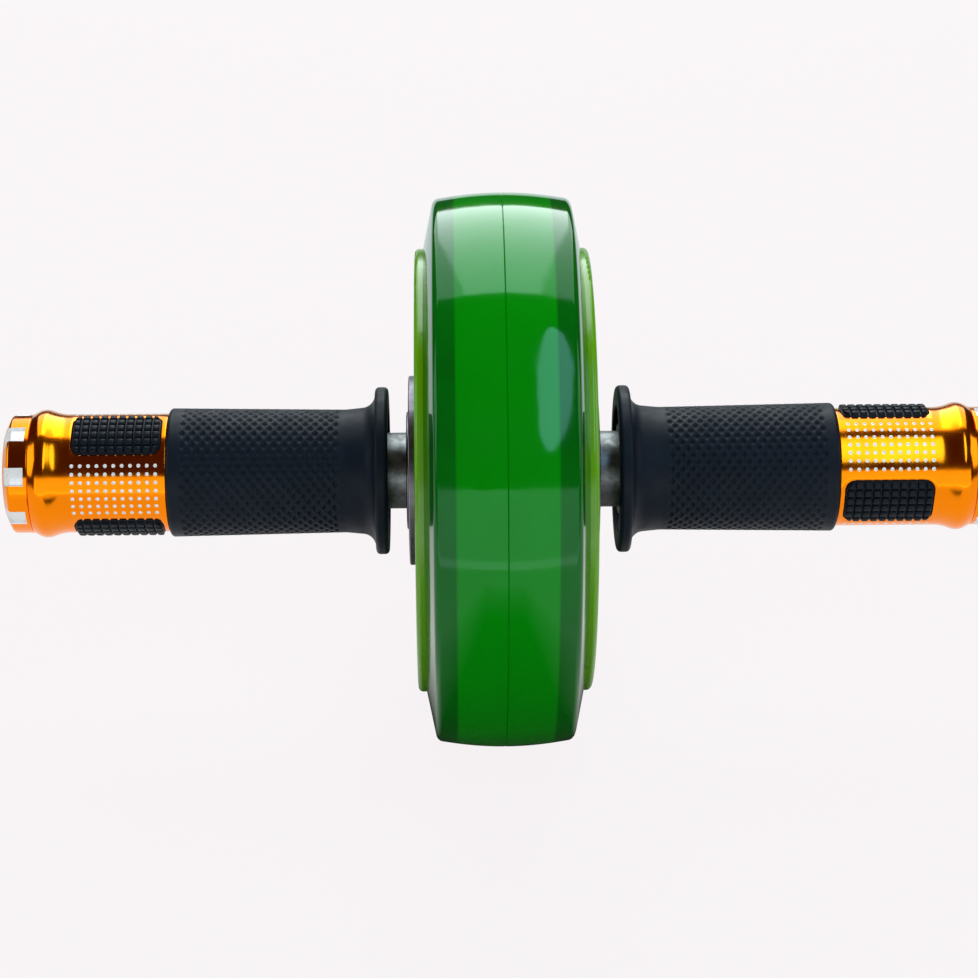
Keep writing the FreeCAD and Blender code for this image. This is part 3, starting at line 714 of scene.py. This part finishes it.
def cut_metal_glint_finish():
    finish, tree, shader = new_finish("cut_aluminium_painted_glint")
    # Near white and mostly matt: the pale tone of cut metal plus a painted reflection.
    feed(tree, shader.inputs["Base Color"], drift(tree, CUT_METAL_AND_GLINT, 0.95, 300.0))
    shader.inputs["Metallic"].default_value = 0.25
    gloss = effect(tree, UNEVEN_GLOSS, "Roughness", Low=0.25, High=0.4, Scale=400.0)
    feed(tree, shader.inputs["Roughness"], gloss)
    grain = effect(tree, FINE_GRAIN, "Height", Scale=3000.0)
    feed(tree, shader.inputs["Normal"], bump(tree, grain, 0.006 * MM))
    return finish


ORANGE_FINISH = orange_finish()
CUT_METAL_GLINT_FINISH = cut_metal_glint_finish()
print("aluminium finishes ready")

# %% [markdown]
# The wall of a barrel is laid out flat, as a sheet that is wrapped round the bar: three windows, and between them
# three panels of dimples. Cutting them with a Boolean would also work, but leaves ragged faces that show in such a
# shiny metal. Here every window is a ring of faces round a round-cornered rim, and every dimple sits in its own
# small square, so all faces meet.

# %% Sizes of the barrel
X_BARREL_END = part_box("right_barrel")[1].x + 1.8 * MM
R_BARREL = 17.1 * MM
R_BARREL_BORE = 14.72 * MM
X_BULGE = X_GRIP_END + 30.9 * MM
X_BULGE_TOP = X_BARREL_END - 3.3 * MM
R_BULGE_CORNER = R_BARREL + 1.8 * MM
FOOT_OF_BULGE_ROUNDING = 12.0 * MM
BULGE_ROUNDING = 4.5 * MM
WINDOWS = 3
X_WINDOW = X_GRIP_END + 14.3 * MM
WINDOW_HALF_LENGTH = 12.8 * MM
WINDOW_HALF_WIDTH = 7.3 * MM
WINDOW_CORNER = 3.1 * MM
WINDOW_BEVEL = 0.22 * MM
X_SHEET_START = X_GRIP_END + 0.45 * MM
X_FIRST_DIMPLE = X_GRIP_END + 2.9 * MM
DIMPLE_COLUMNS = 11
DIMPLE_ROWS = 7
DIMPLE_PITCH = 2.37 * MM
DIMPLE_ROW_TURN = math.radians(8.05)
DIMPLE_RADIUS = 0.56 * MM
DIMPLE_DEPTH = 0.34 * MM
SQUARE_STEPS = 3
WINDOW_STEPS = 24
PANEL_STEPS = SQUARE_STEPS * DIMPLE_ROWS
SECTOR_STEPS = WINDOW_STEPS + PANEL_STEPS
PANEL_TURN = DIMPLE_ROWS * DIMPLE_ROW_TURN
WINDOW_TURN = math.tau / WINDOWS - PANEL_TURN
GRIP_TURNS = {"left": math.radians(78.6), "right": math.radians(-2.7)}

barrel_points = rounded([
    (X_GRIP_END, R_BARREL_BORE, 0),
    (X_GRIP_END, R_BARREL, 0.4 * MM),
    (X_BULGE, R_BARREL, FOOT_OF_BULGE_ROUNDING),
    (X_BULGE_TOP, R_BULGE_CORNER, BULGE_ROUNDING),
    (X_BARREL_END, R_BARREL, 0.4 * MM),
    (X_BARREL_END, R_BARREL_BORE, 0),
])
line_start = X_FIRST_DIMPLE - DIMPLE_PITCH / 2
sheet_lines = [X_SHEET_START] + [
    line_start + k * DIMPLE_PITCH / SQUARE_STEPS for k in range(SQUARE_STEPS * DIMPLE_COLUMNS + 1)
]


def barrel_radius(x):
    """Outer radius of the barrel, read from its outline."""
    wall = barrel_points[1:-1]
    for first, second in zip(wall, wall[1:]):
        if first.x <= x <= second.x and second.x > first.x:
            return first.y + (second.y - first.y) * (x - first.x) / (second.x - first.x)
    return R_BARREL


def sheet_turn(step):
    """Angle of a line of the sheet, counted from the start of the first window."""
    sector, rest = divmod(step, SECTOR_STEPS)
    start = sector * math.tau / WINDOWS - WINDOW_TURN / 2
    if rest <= WINDOW_STEPS:
        return start + WINDOW_TURN * rest / WINDOW_STEPS
    return start + WINDOW_TURN + PANEL_TURN * (rest - WINDOW_STEPS) / PANEL_STEPS


print("sheet of", len(sheet_lines), "by", WINDOWS * SECTOR_STEPS, "lines")
print("dimples", DIMPLE_COLUMNS * DIMPLE_ROWS * WINDOWS)


# %% Barrel
def nearest_on_window(across, along):
    """Nearest point of the core of a round-cornered window, and the direction outwards from it."""
    half_arc = R_BARREL * math.asin(WINDOW_HALF_WIDTH / R_BARREL)
    core_along = WINDOW_HALF_LENGTH - WINDOW_CORNER
    core_across = half_arc - WINDOW_CORNER
    core = Vector((max(-core_along, min(core_along, along)), max(-core_across, min(core_across, across))))
    return core, (Vector((along, across)) - core).normalized()


class Sheet:
    """Wall of one barrel, as lines along the bar and lines round it."""

    def __init__(self, bm, side, turn):
        self.bm = bm
        self.side = side
        self.turn = turn
        self.points = {}

    def point(self, line, step, inside=False):
        """Point where two lines of the sheet cross, on the outer wall or in the bore."""
        key = (line, step % (WINDOWS * SECTOR_STEPS), inside)
        if key not in self.points:
            x = sheet_lines[line]
            r = R_BARREL_BORE if inside else barrel_radius(x)
            self.points[key] = self.bm.verts.new(at(self.side * x, r, self.turn + sheet_turn(key[1])))
        return self.points[key]

    def free_point(self, x, turn, depth):
        return self.bm.verts.new(at(self.side * x, barrel_radius(x) - depth, self.turn + turn))

    def frame_of(self, low_line, high_line, low_step, high_step, inside=False):
        """Crossings round a patch, in order."""
        lines = range(low_line, high_line)
        steps = range(low_step, high_step)
        keys = [(line, low_step) for line in lines] + [(high_line, step) for step in steps]
        keys += [(line, high_step) for line in reversed(range(low_line + 1, high_line + 1))]
        keys += [(low_line, step) for step in reversed(range(low_step + 1, high_step + 1))]
        return keys, [self.point(line, step, inside) for line, step in keys]

    def window(self, sector):
        """Wall round one window, its bevelled rim and its sides down to the bore."""
        first = sector * SECTOR_STEPS
        middle = sector * math.tau / WINDOWS
        keys, border = self.frame_of(0, len(sheet_lines) - 1, first, first + WINDOW_STEPS)
        bore_border = self.frame_of(0, len(sheet_lines) - 1, first, first + WINDOW_STEPS, True)[1]
        levels = [(WINDOW_BEVEL, 0.0), (0.3 * WINDOW_BEVEL, 0.3 * WINDOW_BEVEL), (0.0, WINDOW_BEVEL)]
        levels.append((0.0, R_BARREL - R_BARREL_BORE))
        last = border
        for widening, depth in levels:
            rim = []
            for line, step in keys:
                turn = sheet_turn(step) if step < first + WINDOW_STEPS else middle + WINDOW_TURN / 2
                core, out = nearest_on_window(R_BARREL * (turn - middle), sheet_lines[line] - X_WINDOW)
                spot = core + out * (WINDOW_CORNER + widening)
                rim.append(self.free_point(X_WINDOW + spot.x, middle + spot.y / R_BARREL, depth))
            bridge(self.bm, last, rim)
            last = rim
        bridge(self.bm, last, bore_border)

    def dimple(self, line, step):
        """One square of a panel with a round dimple in it, near white where the dye is cut through: bare metal with
        a painted reflection.
        """
        keys, border = self.frame_of(line, line + SQUARE_STEPS, step, step + SQUARE_STEPS)
        x = (sheet_lines[line] + sheet_lines[line + SQUARE_STEPS]) / 2
        turn = sheet_turn(step) + DIMPLE_ROW_TURN / 2
        last = border
        levels = [(1.0, 0.0, 0), (0.86, 0.35 * DIMPLE_DEPTH, 1), (0.45, DIMPLE_DEPTH, 1)]
        for share, depth, material in levels:
            rim = []
            for key_line, key_step in keys:
                away = Vector((key_line - line, key_step - step)) - Vector((1.5, 1.5))
                spot = away.normalized() * DIMPLE_RADIUS * share
                rim.append(self.free_point(x + spot.x, turn + spot.y / R_BARREL, depth))
            bridge(self.bm, last, rim, material)
            last = rim
        self.bm.faces.new(last).material_index = 1

    def plain(self, line, step, inside):
        corners = [(line, step), (line + 1, step), (line + 1, step + 1), (line, step + 1)]
        self.bm.faces.new([self.point(*corner, inside) for corner in corners])

    def panel(self, sector):
        """A panel of dimples, the plain strip beside it and the bore behind it."""
        first = sector * SECTOR_STEPS + WINDOW_STEPS
        for step in range(first, first + PANEL_STEPS):
            self.plain(0, step, False)
            for line in range(len(sheet_lines) - 1):
                self.plain(line, step, True)
        for column in range(DIMPLE_COLUMNS):
            for row in range(DIMPLE_ROWS):
                self.dimple(1 + SQUARE_STEPS * column, first + SQUARE_STEPS * row)

    def ring_at(self, line, inside=False):
        return [self.point(line, step, inside) for step in range(WINDOWS * SECTOR_STEPS)]


def make_barrel(side, turn, name):
    bm = bmesh.new()
    sheet = Sheet(bm, side, turn)
    for sector in range(WINDOWS):
        sheet.window(sector)
        sheet.panel(sector)
    angles = [turn + sheet_turn(step) for step in range(WINDOWS * SECTOR_STEPS)]
    last_line = len(sheet_lines) - 1
    inner = [p for p in barrel_points if p.x < X_SHEET_START]
    outer = [p for p in barrel_points if p.x > sheet_lines[last_line]]
    inner_rings = [ring(bm, side * p.x, p.y, angles) for p in inner]
    outer_rings = [ring(bm, side * p.x, p.y, angles) for p in outer]
    inner_run = [sheet.ring_at(0, True)] + inner_rings + [sheet.ring_at(0)]
    outer_run = [sheet.ring_at(last_line)] + outer_rings + [sheet.ring_at(last_line, True)]
    for run in (inner_run, outer_run):
        for first, second in zip(run, run[1:]):
            bridge(bm, first, second)
    return shown(bm, name, [ORANGE_FINISH, CUT_METAL_GLINT_FINISH], 28)


for hand, side in SIDES.items():
    barrel = make_barrel(side, GRIP_TURNS[hand], hand + "_dimpled_barrel")
    in_place(barrel, "bar", hand + "_barrel")

# %% [markdown]
# Behind each window sits a rubber pad with rows of small blocks, all three on one liner. Blocks could be separate
# boxes set on a plate, but rubber is moulded in one piece, so each block is drawn up out of its own square of the
# pad. Squares at the corners are pulled in to follow the round corner of the window.

# %% Sizes of the pads
PAD_GAP = 0.12 * MM
PAD_HALF_LENGTH = WINDOW_HALF_LENGTH - PAD_GAP
PAD_HALF_ARC = R_BARREL * math.asin(WINDOW_HALF_WIDTH / R_BARREL) - PAD_GAP
PAD_CORNER = WINDOW_CORNER - PAD_GAP
BLOCK_COLUMNS = 10
BLOCK_ROWS = 6
R_PAD_BASE = 17.15 * MM
R_BLOCK_TOP = 18.1 * MM
R_LINER = 14.7 * MM
R_PAD_ROOT = 14.0 * MM
PAD_EDGE = 0.3 * MM
X_LINER_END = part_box("right_pad_insert")[1].x


def in_pad(along, across, inset=0.0):
    """A place on the pad, pulled inside its round corners."""
    core_along = PAD_HALF_LENGTH - PAD_CORNER
    core_across = PAD_HALF_ARC - PAD_CORNER
    core = Vector((max(-core_along, min(core_along, along)), max(-core_across, min(core_across, across))))
    out = Vector((along, across)) - core
    reach = min(out.length, PAD_CORNER - inset)
    return core + out.normalized() * reach if out.length > 0 else core


print("pads of", BLOCK_COLUMNS, "by", BLOCK_ROWS, "blocks, liner ends at", round(X_LINER_END, 4))


# %% Pad insert
class Pad:
    """One pad of an insert, as a lattice of half squares."""

    def __init__(self, bm, side, turn):
        self.bm = bm
        self.side = side
        self.turn = turn
        self.points = {}

    def flat(self, column, row, inset=0.0):
        along = PAD_HALF_LENGTH * (column / BLOCK_COLUMNS - 1)
        across = PAD_HALF_ARC * (row / BLOCK_ROWS - 1)
        return in_pad(along, across, inset)

    def raised(self, spot, r):
        return self.bm.verts.new(at(self.side * (X_WINDOW + spot.x), r, self.turn + spot.y / R_BARREL))

    def point(self, column, row):
        key = (column, row)
        if key not in self.points:
            self.points[key] = self.raised(self.flat(column, row, PAD_EDGE), R_PAD_BASE)
        return self.points[key]

    def block(self, column, row):
        """Square of the pad with a round-edged block drawn up out of it."""
        steps = [(0, 0), (1, 0), (2, 0), (2, 1), (2, 2), (1, 2), (0, 2), (0, 1)]
        last = [self.point(column + a, row + b) for a, b in steps]
        spots = [self.flat(column + a, row + b, PAD_EDGE) for a, b in steps]
        middle = sum(spots, Vector((0, 0))) / len(spots)
        rise = R_BLOCK_TOP - R_PAD_BASE
        for share, height in [(0.9, 0.0), (0.8, 0.6 * rise), (0.66, 0.9 * rise), (0.4, rise)]:
            rim = []
            for (a, b), spot in zip(steps, spots):
                pull = share * (0.92 if a != 1 and b != 1 else 1.0)
                rim.append(self.raised(middle + (spot - middle) * pull, R_PAD_BASE + height))
            bridge(self.bm, last, rim)
            last = rim
        self.bm.faces.new(last)

    def make(self):
        columns = 2 * BLOCK_COLUMNS
        rows = 2 * BLOCK_ROWS
        for column in range(0, columns, 2):
            for row in range(0, rows, 2):
                self.block(column, row)
        edge = [(c, 0) for c in range(columns)] + [(columns, r) for r in range(rows)]
        edge += [(c, rows) for c in range(columns, 0, -1)] + [(0, r) for r in range(rows, 0, -1)]
        top = [self.point(*key) for key in edge]
        side = [self.raised(self.flat(*key), R_PAD_BASE - PAD_EDGE) for key in edge]
        root = [self.raised(self.flat(*key), R_PAD_ROOT) for key in edge]
        bridge(self.bm, top, side)
        bridge(self.bm, side, root)
        self.bm.faces.new(root)


def make_pad_insert(side, turn, name):
    bm = bmesh.new()
    for sector in range(WINDOWS):
        Pad(bm, side, turn + sector * math.tau / WINDOWS).make()
    low = R_SLEEVE + FIT
    corners = [(X_GRIP_END, low), (X_LINER_END, low), (X_LINER_END, R_LINER), (X_GRIP_END, R_LINER)]
    rings = [ring(bm, side * x, r, even_angles(90)) for x, r in corners]
    for k in range(len(rings)):
        bridge(bm, rings[k - 1], rings[k])
    return shown(bm, name, [PAD_FINISH], 65)


for hand, side in SIDES.items():
    insert = make_pad_insert(side, GRIP_TURNS[hand], hand + "_block_pads")
    in_place(insert, "bar", hand + "_pad_insert")

# %% [markdown]
# The end caps are turned domes with eight bright slots milled over the edge. The cap is turned on rings whose
# points crowd together at the sides of each slot, and between those sides the points are pushed in to make the
# slot. Where there is no slot, the crowded points fall on each other and are merged.

# %% Sizes of the end cap
cap_low, cap_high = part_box("right_end_cap")
X_CAP_END = cap_high.x
X_SPIGOT = cap_low.x
CAP_DOME = 2.4 * MM
CAP_NOSE = 0.5 * MM
R_CAP_FACE = 9.0 * MM
CAP_NOSE_HEIGHT = 4.0 * MM
R_SCREW_HEAD = 5.3 * MM
R_SCREW_SHANK = 3.3 * MM
R_SPIGOT_BORE = 11.7 * MM
X_SCREW_SEAT = X_BARREL_END + 2.2 * MM
SLOTS = 8
SLOT_HALF_WIDTH = 2.45 * MM
SLOT_BEVEL = 0.16 * MM
SLOT_DEPTH = 0.8 * MM
X_SLOT_START = X_CAP_END - 7.0 * MM
R_SLOT_END = 14.5 * MM
SLOT_RUN_OUT = 1.6 * MM
LAND_STEPS = 5
CAP_TURNS = {"left": math.radians(32.8), "right": math.radians(12.0)}
slot_columns = [
    (-SLOT_HALF_WIDTH - SLOT_BEVEL, 0.0),
    (-SLOT_HALF_WIDTH, 0.2),
    (-SLOT_HALF_WIDTH, 1.0),
    (-SLOT_HALF_WIDTH / 2, 1.0),
    (0.0, 1.0),
    (SLOT_HALF_WIDTH / 2, 1.0),
    (SLOT_HALF_WIDTH, 1.0),
    (SLOT_HALF_WIDTH, 0.2),
    (SLOT_HALF_WIDTH + SLOT_BEVEL, 0.0),
]


def cap_outline():
    r_nose = R_CAP_FACE + CAP_NOSE_HEIGHT
    dome_share = (R_BARREL - R_SLOT_END) / (R_BARREL - r_nose)
    x_slot_end = X_CAP_END - CAP_DOME + (CAP_DOME - CAP_NOSE) * dome_share
    return rounded([
        (X_BARREL_END, R_SPIGOT_BORE, 0),
        (X_SPIGOT, R_SPIGOT_BORE, 0),
        (X_SPIGOT, R_LINER, 0.4 * MM),
        (X_BARREL_END, R_LINER, 0),
        (X_BARREL_END, R_BARREL, 0.4 * MM),
        (X_CAP_END - CAP_DOME, R_BARREL, CAP_DOME / 2),
        (x_slot_end, R_SLOT_END, 0),
        (X_CAP_END - CAP_NOSE, r_nose, CAP_NOSE_HEIGHT),
        (X_CAP_END, R_CAP_FACE, 0.4 * MM),
        (X_CAP_END, R_SCREW_HEAD, 0.4 * MM),
        (X_SCREW_SEAT, R_SCREW_HEAD, 0),
        (X_SCREW_SEAT, R_SCREW_SHANK, 0),
        (X_BARREL_END, R_SCREW_SHANK, 0),
    ])


print("cap outline", len(cap_outline()), "points")


# %% End cap
def cap_angles(r):
    """Angles of the points of one ring of the cap for one slot, with its share of the slot's depth."""
    widest = SLOT_HALF_WIDTH + SLOT_BEVEL
    step = math.tau / SLOTS
    edge = min(math.asin(min(1.0, widest / r)), 0.46 * step)
    bend = math.sin(edge) / widest
    columns = [(math.asin(across * bend), share) for across, share in slot_columns]
    land = (step - 2 * edge) / LAND_STEPS
    columns += [(edge + land * k, 0.0) for k in range(1, LAND_STEPS)]
    return columns


def cap_ring(bm, side, turn, point, inward):
    """Ring at one point of the outline, pushed inward where the slots are."""
    verts = []
    for slot in range(SLOTS):
        for angle, share in cap_angles(point.y):
            spot = point + inward * share
            verts.append(bm.verts.new(at(side * spot.x, spot.y, turn + slot * math.tau / SLOTS + angle)))
    return verts


def slot_push(points, i):
    """How far a point of the outline is pushed in by a slot, square to the outline."""
    point = points[i]
    if point.x < X_SLOT_START or point.y < R_SLOT_END + FIT:
        return Vector((0, 0))
    along = (points[i + 1] - points[i - 1]).normalized()
    depth = SLOT_DEPTH * min(1.0, (point.y - R_SLOT_END) / SLOT_RUN_OUT)
    return Vector((along.y, -along.x)) * depth


def make_cap(side, turn, name):
    bm = bmesh.new()
    points = cap_outline()
    start = next(i for i, p in enumerate(points) if p.x > X_SLOT_START and p.y > R_SLOT_END)
    points.insert(start, Vector((X_SLOT_START, R_BARREL)))
    rings = []
    for i, point in enumerate(points):
        if i == start:
            rings.append((cap_ring(bm, side, turn, point, Vector((0, 0))), False))
        push = slot_push(points, i)
        rings.append((cap_ring(bm, side, turn, point, push), push.length > 0))
    wide = len(slot_columns) + LAND_STEPS - 1
    for k in range(len(rings)):
        (first, first_cut), (second, second_cut) = rings[k - 1], rings[k]
        for n in range(len(first)):
            face = bm.faces.new((first[n - 1], first[n], second[n], second[n - 1]))
            in_slot = 0 < n % wide < len(slot_columns)
            # Slot faces take the cut metal finish with its painted reflection.
            face.material_index = 1 if in_slot and (first_cut or second_cut) else 0
    bmesh.ops.remove_doubles(bm, verts=bm.verts, dist=0.001 * MM)
    return shown(bm, name, [ORANGE_FINISH, CUT_METAL_GLINT_FINISH], 28)


for hand, side in SIDES.items():
    in_place(make_cap(side, CAP_TURNS[hand], hand + "_slotted_cap"), "bar", hand + "_end_cap")

# %% [markdown]
# The roller stands on a plain pale floor. A white floor could be lit until it clips, but then the part would be
# lit too much. So the floor shows its own pale colour to the camera, mixed with an ordinary lit floor that still
# takes the wheel's shadow. In reflections it is duller behind the wheel and ends where a studio sweep would, and
# under and close in front of the wheel it is dark with a painted shadow of the wheel, seen only in reflections.

# %% Floor
FLOOR_GLOW = (1.0, 0.962, 0.978, 1)
FLOOR_PAINT = (0.45, 0.44, 0.445, 1)
FLOOR_IN_REFLECTION = (1.0, 0.98, 0.99, 1)
FLOOR_BEHIND = (0.72, 0.84, 0.82, 1)
FLOOR_SHADOW_AND_ROOM_DARK = (0.02, 0.02, 0.02, 1)
FLOOR_HALF_SIZE = 6.0
FLOOR_GLOW_SHARE = 0.9
SWEEP_END = 0.62
SWEEP_BLUR = 0.04
SHADE_SIDES = (0.025, 0.06)
SHADE_FRONT = (0.25, 0.6)
SHADE_BACK = (0.03, 0.1)


def make_floor():
    finish = bpy.data.materials.new("pale_floor")
    finish.use_nodes = True
    tree = finish.node_tree
    tree.nodes.remove(tree.nodes["Principled BSDF"])
    ray = tree.nodes.new("ShaderNodeLightPath")
    place = tree.nodes.new("ShaderNodeTexCoord").outputs["Object"]
    split = add(tree, "ShaderNodeSeparateXYZ", Vector=place)
    away = sums(tree, "ABSOLUTE", sums(tree, "SUBTRACT", split.outputs["X"], WHEEL_X))
    beside = spread(tree, away, *SHADE_SIDES)
    ahead = spread(tree, sums(tree, "MULTIPLY", split.outputs["Y"], -1.0), *SHADE_FRONT)
    behind = spread(tree, split.outputs["Y"], *SHADE_BACK)
    past = spread(tree, split.outputs["Y"], SWEEP_END - SWEEP_BLUR, SWEEP_END + SWEEP_BLUR)
    clear = sums(tree, "MAXIMUM", sums(tree, "MAXIMUM", beside, ahead), behind)
    clear = sums(tree, "MULTIPLY", clear, sums(tree, "SUBTRACT", 1.0, past))
    pale = mixed(tree, behind, FLOOR_IN_REFLECTION, FLOOR_BEHIND)
    # Reflections see a painted shadow of the wheel under and in front of it, and the dark room past the sweep's
    # end.
    mirrored = mixed(tree, clear, FLOOR_SHADOW_AND_ROOM_DARK, pale)
    lit = add(tree, "ShaderNodeBsdfDiffuse", Color=FLOOR_PAINT)
    shade = mixed(tree, ray.outputs["Is Glossy Ray"], FLOOR_GLOW, mirrored)
    glow = add(tree, "ShaderNodeEmission", Color=shade, Strength=1.0)
    share = sums(tree, "MULTIPLY", ray.outputs["Is Camera Ray"], FLOOR_GLOW_SHARE)
    share = sums(tree, "MAXIMUM", share, ray.outputs["Is Glossy Ray"])
    blend = tree.nodes.new("ShaderNodeMixShader")
    feed(tree, blend.inputs[0], share)
    feed(tree, blend.inputs[1], lit.outputs[0])
    feed(tree, blend.inputs[2], glow.outputs[0])
    feed(tree, tree.nodes["Material Output"].inputs[0], blend.outputs[0])
    bm = bmesh.new()
    bmesh.ops.create_grid(bm, x_segments=1, y_segments=1, size=FLOOR_HALF_SIZE)
    floor = shown(bm, "pale_floor", [finish], 30)
    floor.location.z = cad_box[0][2]
    return floor


make_floor()

# %% [markdown]
# The studio is a dark room with a few soft panels. A large panel behind and above, with a dimmer wing at each
# side, gives the pale sheen on top of the wheel, and an oval panel at the right gives the rounded highlights. A
# wall at each side draws the light lines on the shoulders, a low panel in front lights the undersides, and a
# wide fill lights the dull surfaces. The fill is kept out of reflections, so the metal keeps its dark bands.

# %% Lamps
COOL_WHITE = (0.5, 0.75, 1.0)
NEAR_WHITE = (0.9, 0.97, 1.0)


def soft_panel(name, centre, aim, width, height, brightness, tint, shape="RECTANGLE", mirrored=True):
    """Area lamp at a centre, facing an aim, with about the given brightness per unit of its face."""
    data = bpy.data.lights.new(name, "AREA")
    data.shape = shape
    data.size = width
    data.size_y = height
    data.energy = brightness * width * height * 4
    data.color = tint
    lamp = bpy.data.objects.new(name, data)
    lamp.location = centre
    lamp.rotation_mode = "QUATERNION"
    back = (Vector(centre) - Vector(aim)).normalized()
    side = Vector((0, 1, 0)) if abs(back.x) > 0.9 else Vector((1, 0, 0))
    along = (side - back * back.dot(side)).normalized()
    lamp.rotation_quaternion = Matrix((along, back.cross(along), back)).transposed().to_quaternion()
    lamp.visible_camera = False
    lamp.visible_glossy = mirrored
    bpy.context.scene.collection.objects.link(lamp)
    return lamp


def make_lamps():
    soft_panel("back_panel", (0.01, 0.84, 0.704), (0.01, -0.04, 0.054), 0.46, 1.334, 3.6, NEAR_WHITE)
    soft_panel("back_left_wing", (-0.435, 0.84, 0.704), (-0.435, -0.04, 0.054), 0.43, 1.334, 1.8, NEAR_WHITE)
    soft_panel("back_right_wing", (0.455, 0.84, 0.704), (0.455, -0.04, 0.054), 0.43, 1.334, 1.8, NEAR_WHITE)
    soft_panel("right_oval", (0.285, -0.365, 0.935), (0.285, 0, 0), 0.21, 0.97, 3.0, COOL_WHITE, "ELLIPSE")
    soft_panel("left_wall", (-1.5, -0.1, 0.8), (0, -0.1, 0.8), 1.0, 1.0, 1.5, NEAR_WHITE)
    soft_panel("right_wall", (1.5, -0.1, 0.8), (0, -0.1, 0.8), 1.0, 1.0, 1.5, NEAR_WHITE)
    soft_panel("front_panel", (0, -1.3, 0.31), (0, 0, 0.31), 3.0, 0.78, 1.1, NEAR_WHITE)
    soft_panel("wide_fill", (0, -1.1, 1.1), (0, 0, 0), 1.6, 1.0, 0.9, NEAR_WHITE, mirrored=False)
    world = bpy.data.worlds.new("dark_room")
    world.use_nodes = True
    sky = world.node_tree.nodes["Background"]
    sky.inputs["Color"].default_value = (1.0, 0.36, 0.28, 1)
    sky.inputs["Strength"].default_value = 0.055
    bpy.context.scene.world = world


make_lamps()

# %% [markdown]
# Last, the box of the imported part is printed.

# %% Size
print("packed box", [[round(v, 4) for v in corner] for corner in cad_box])
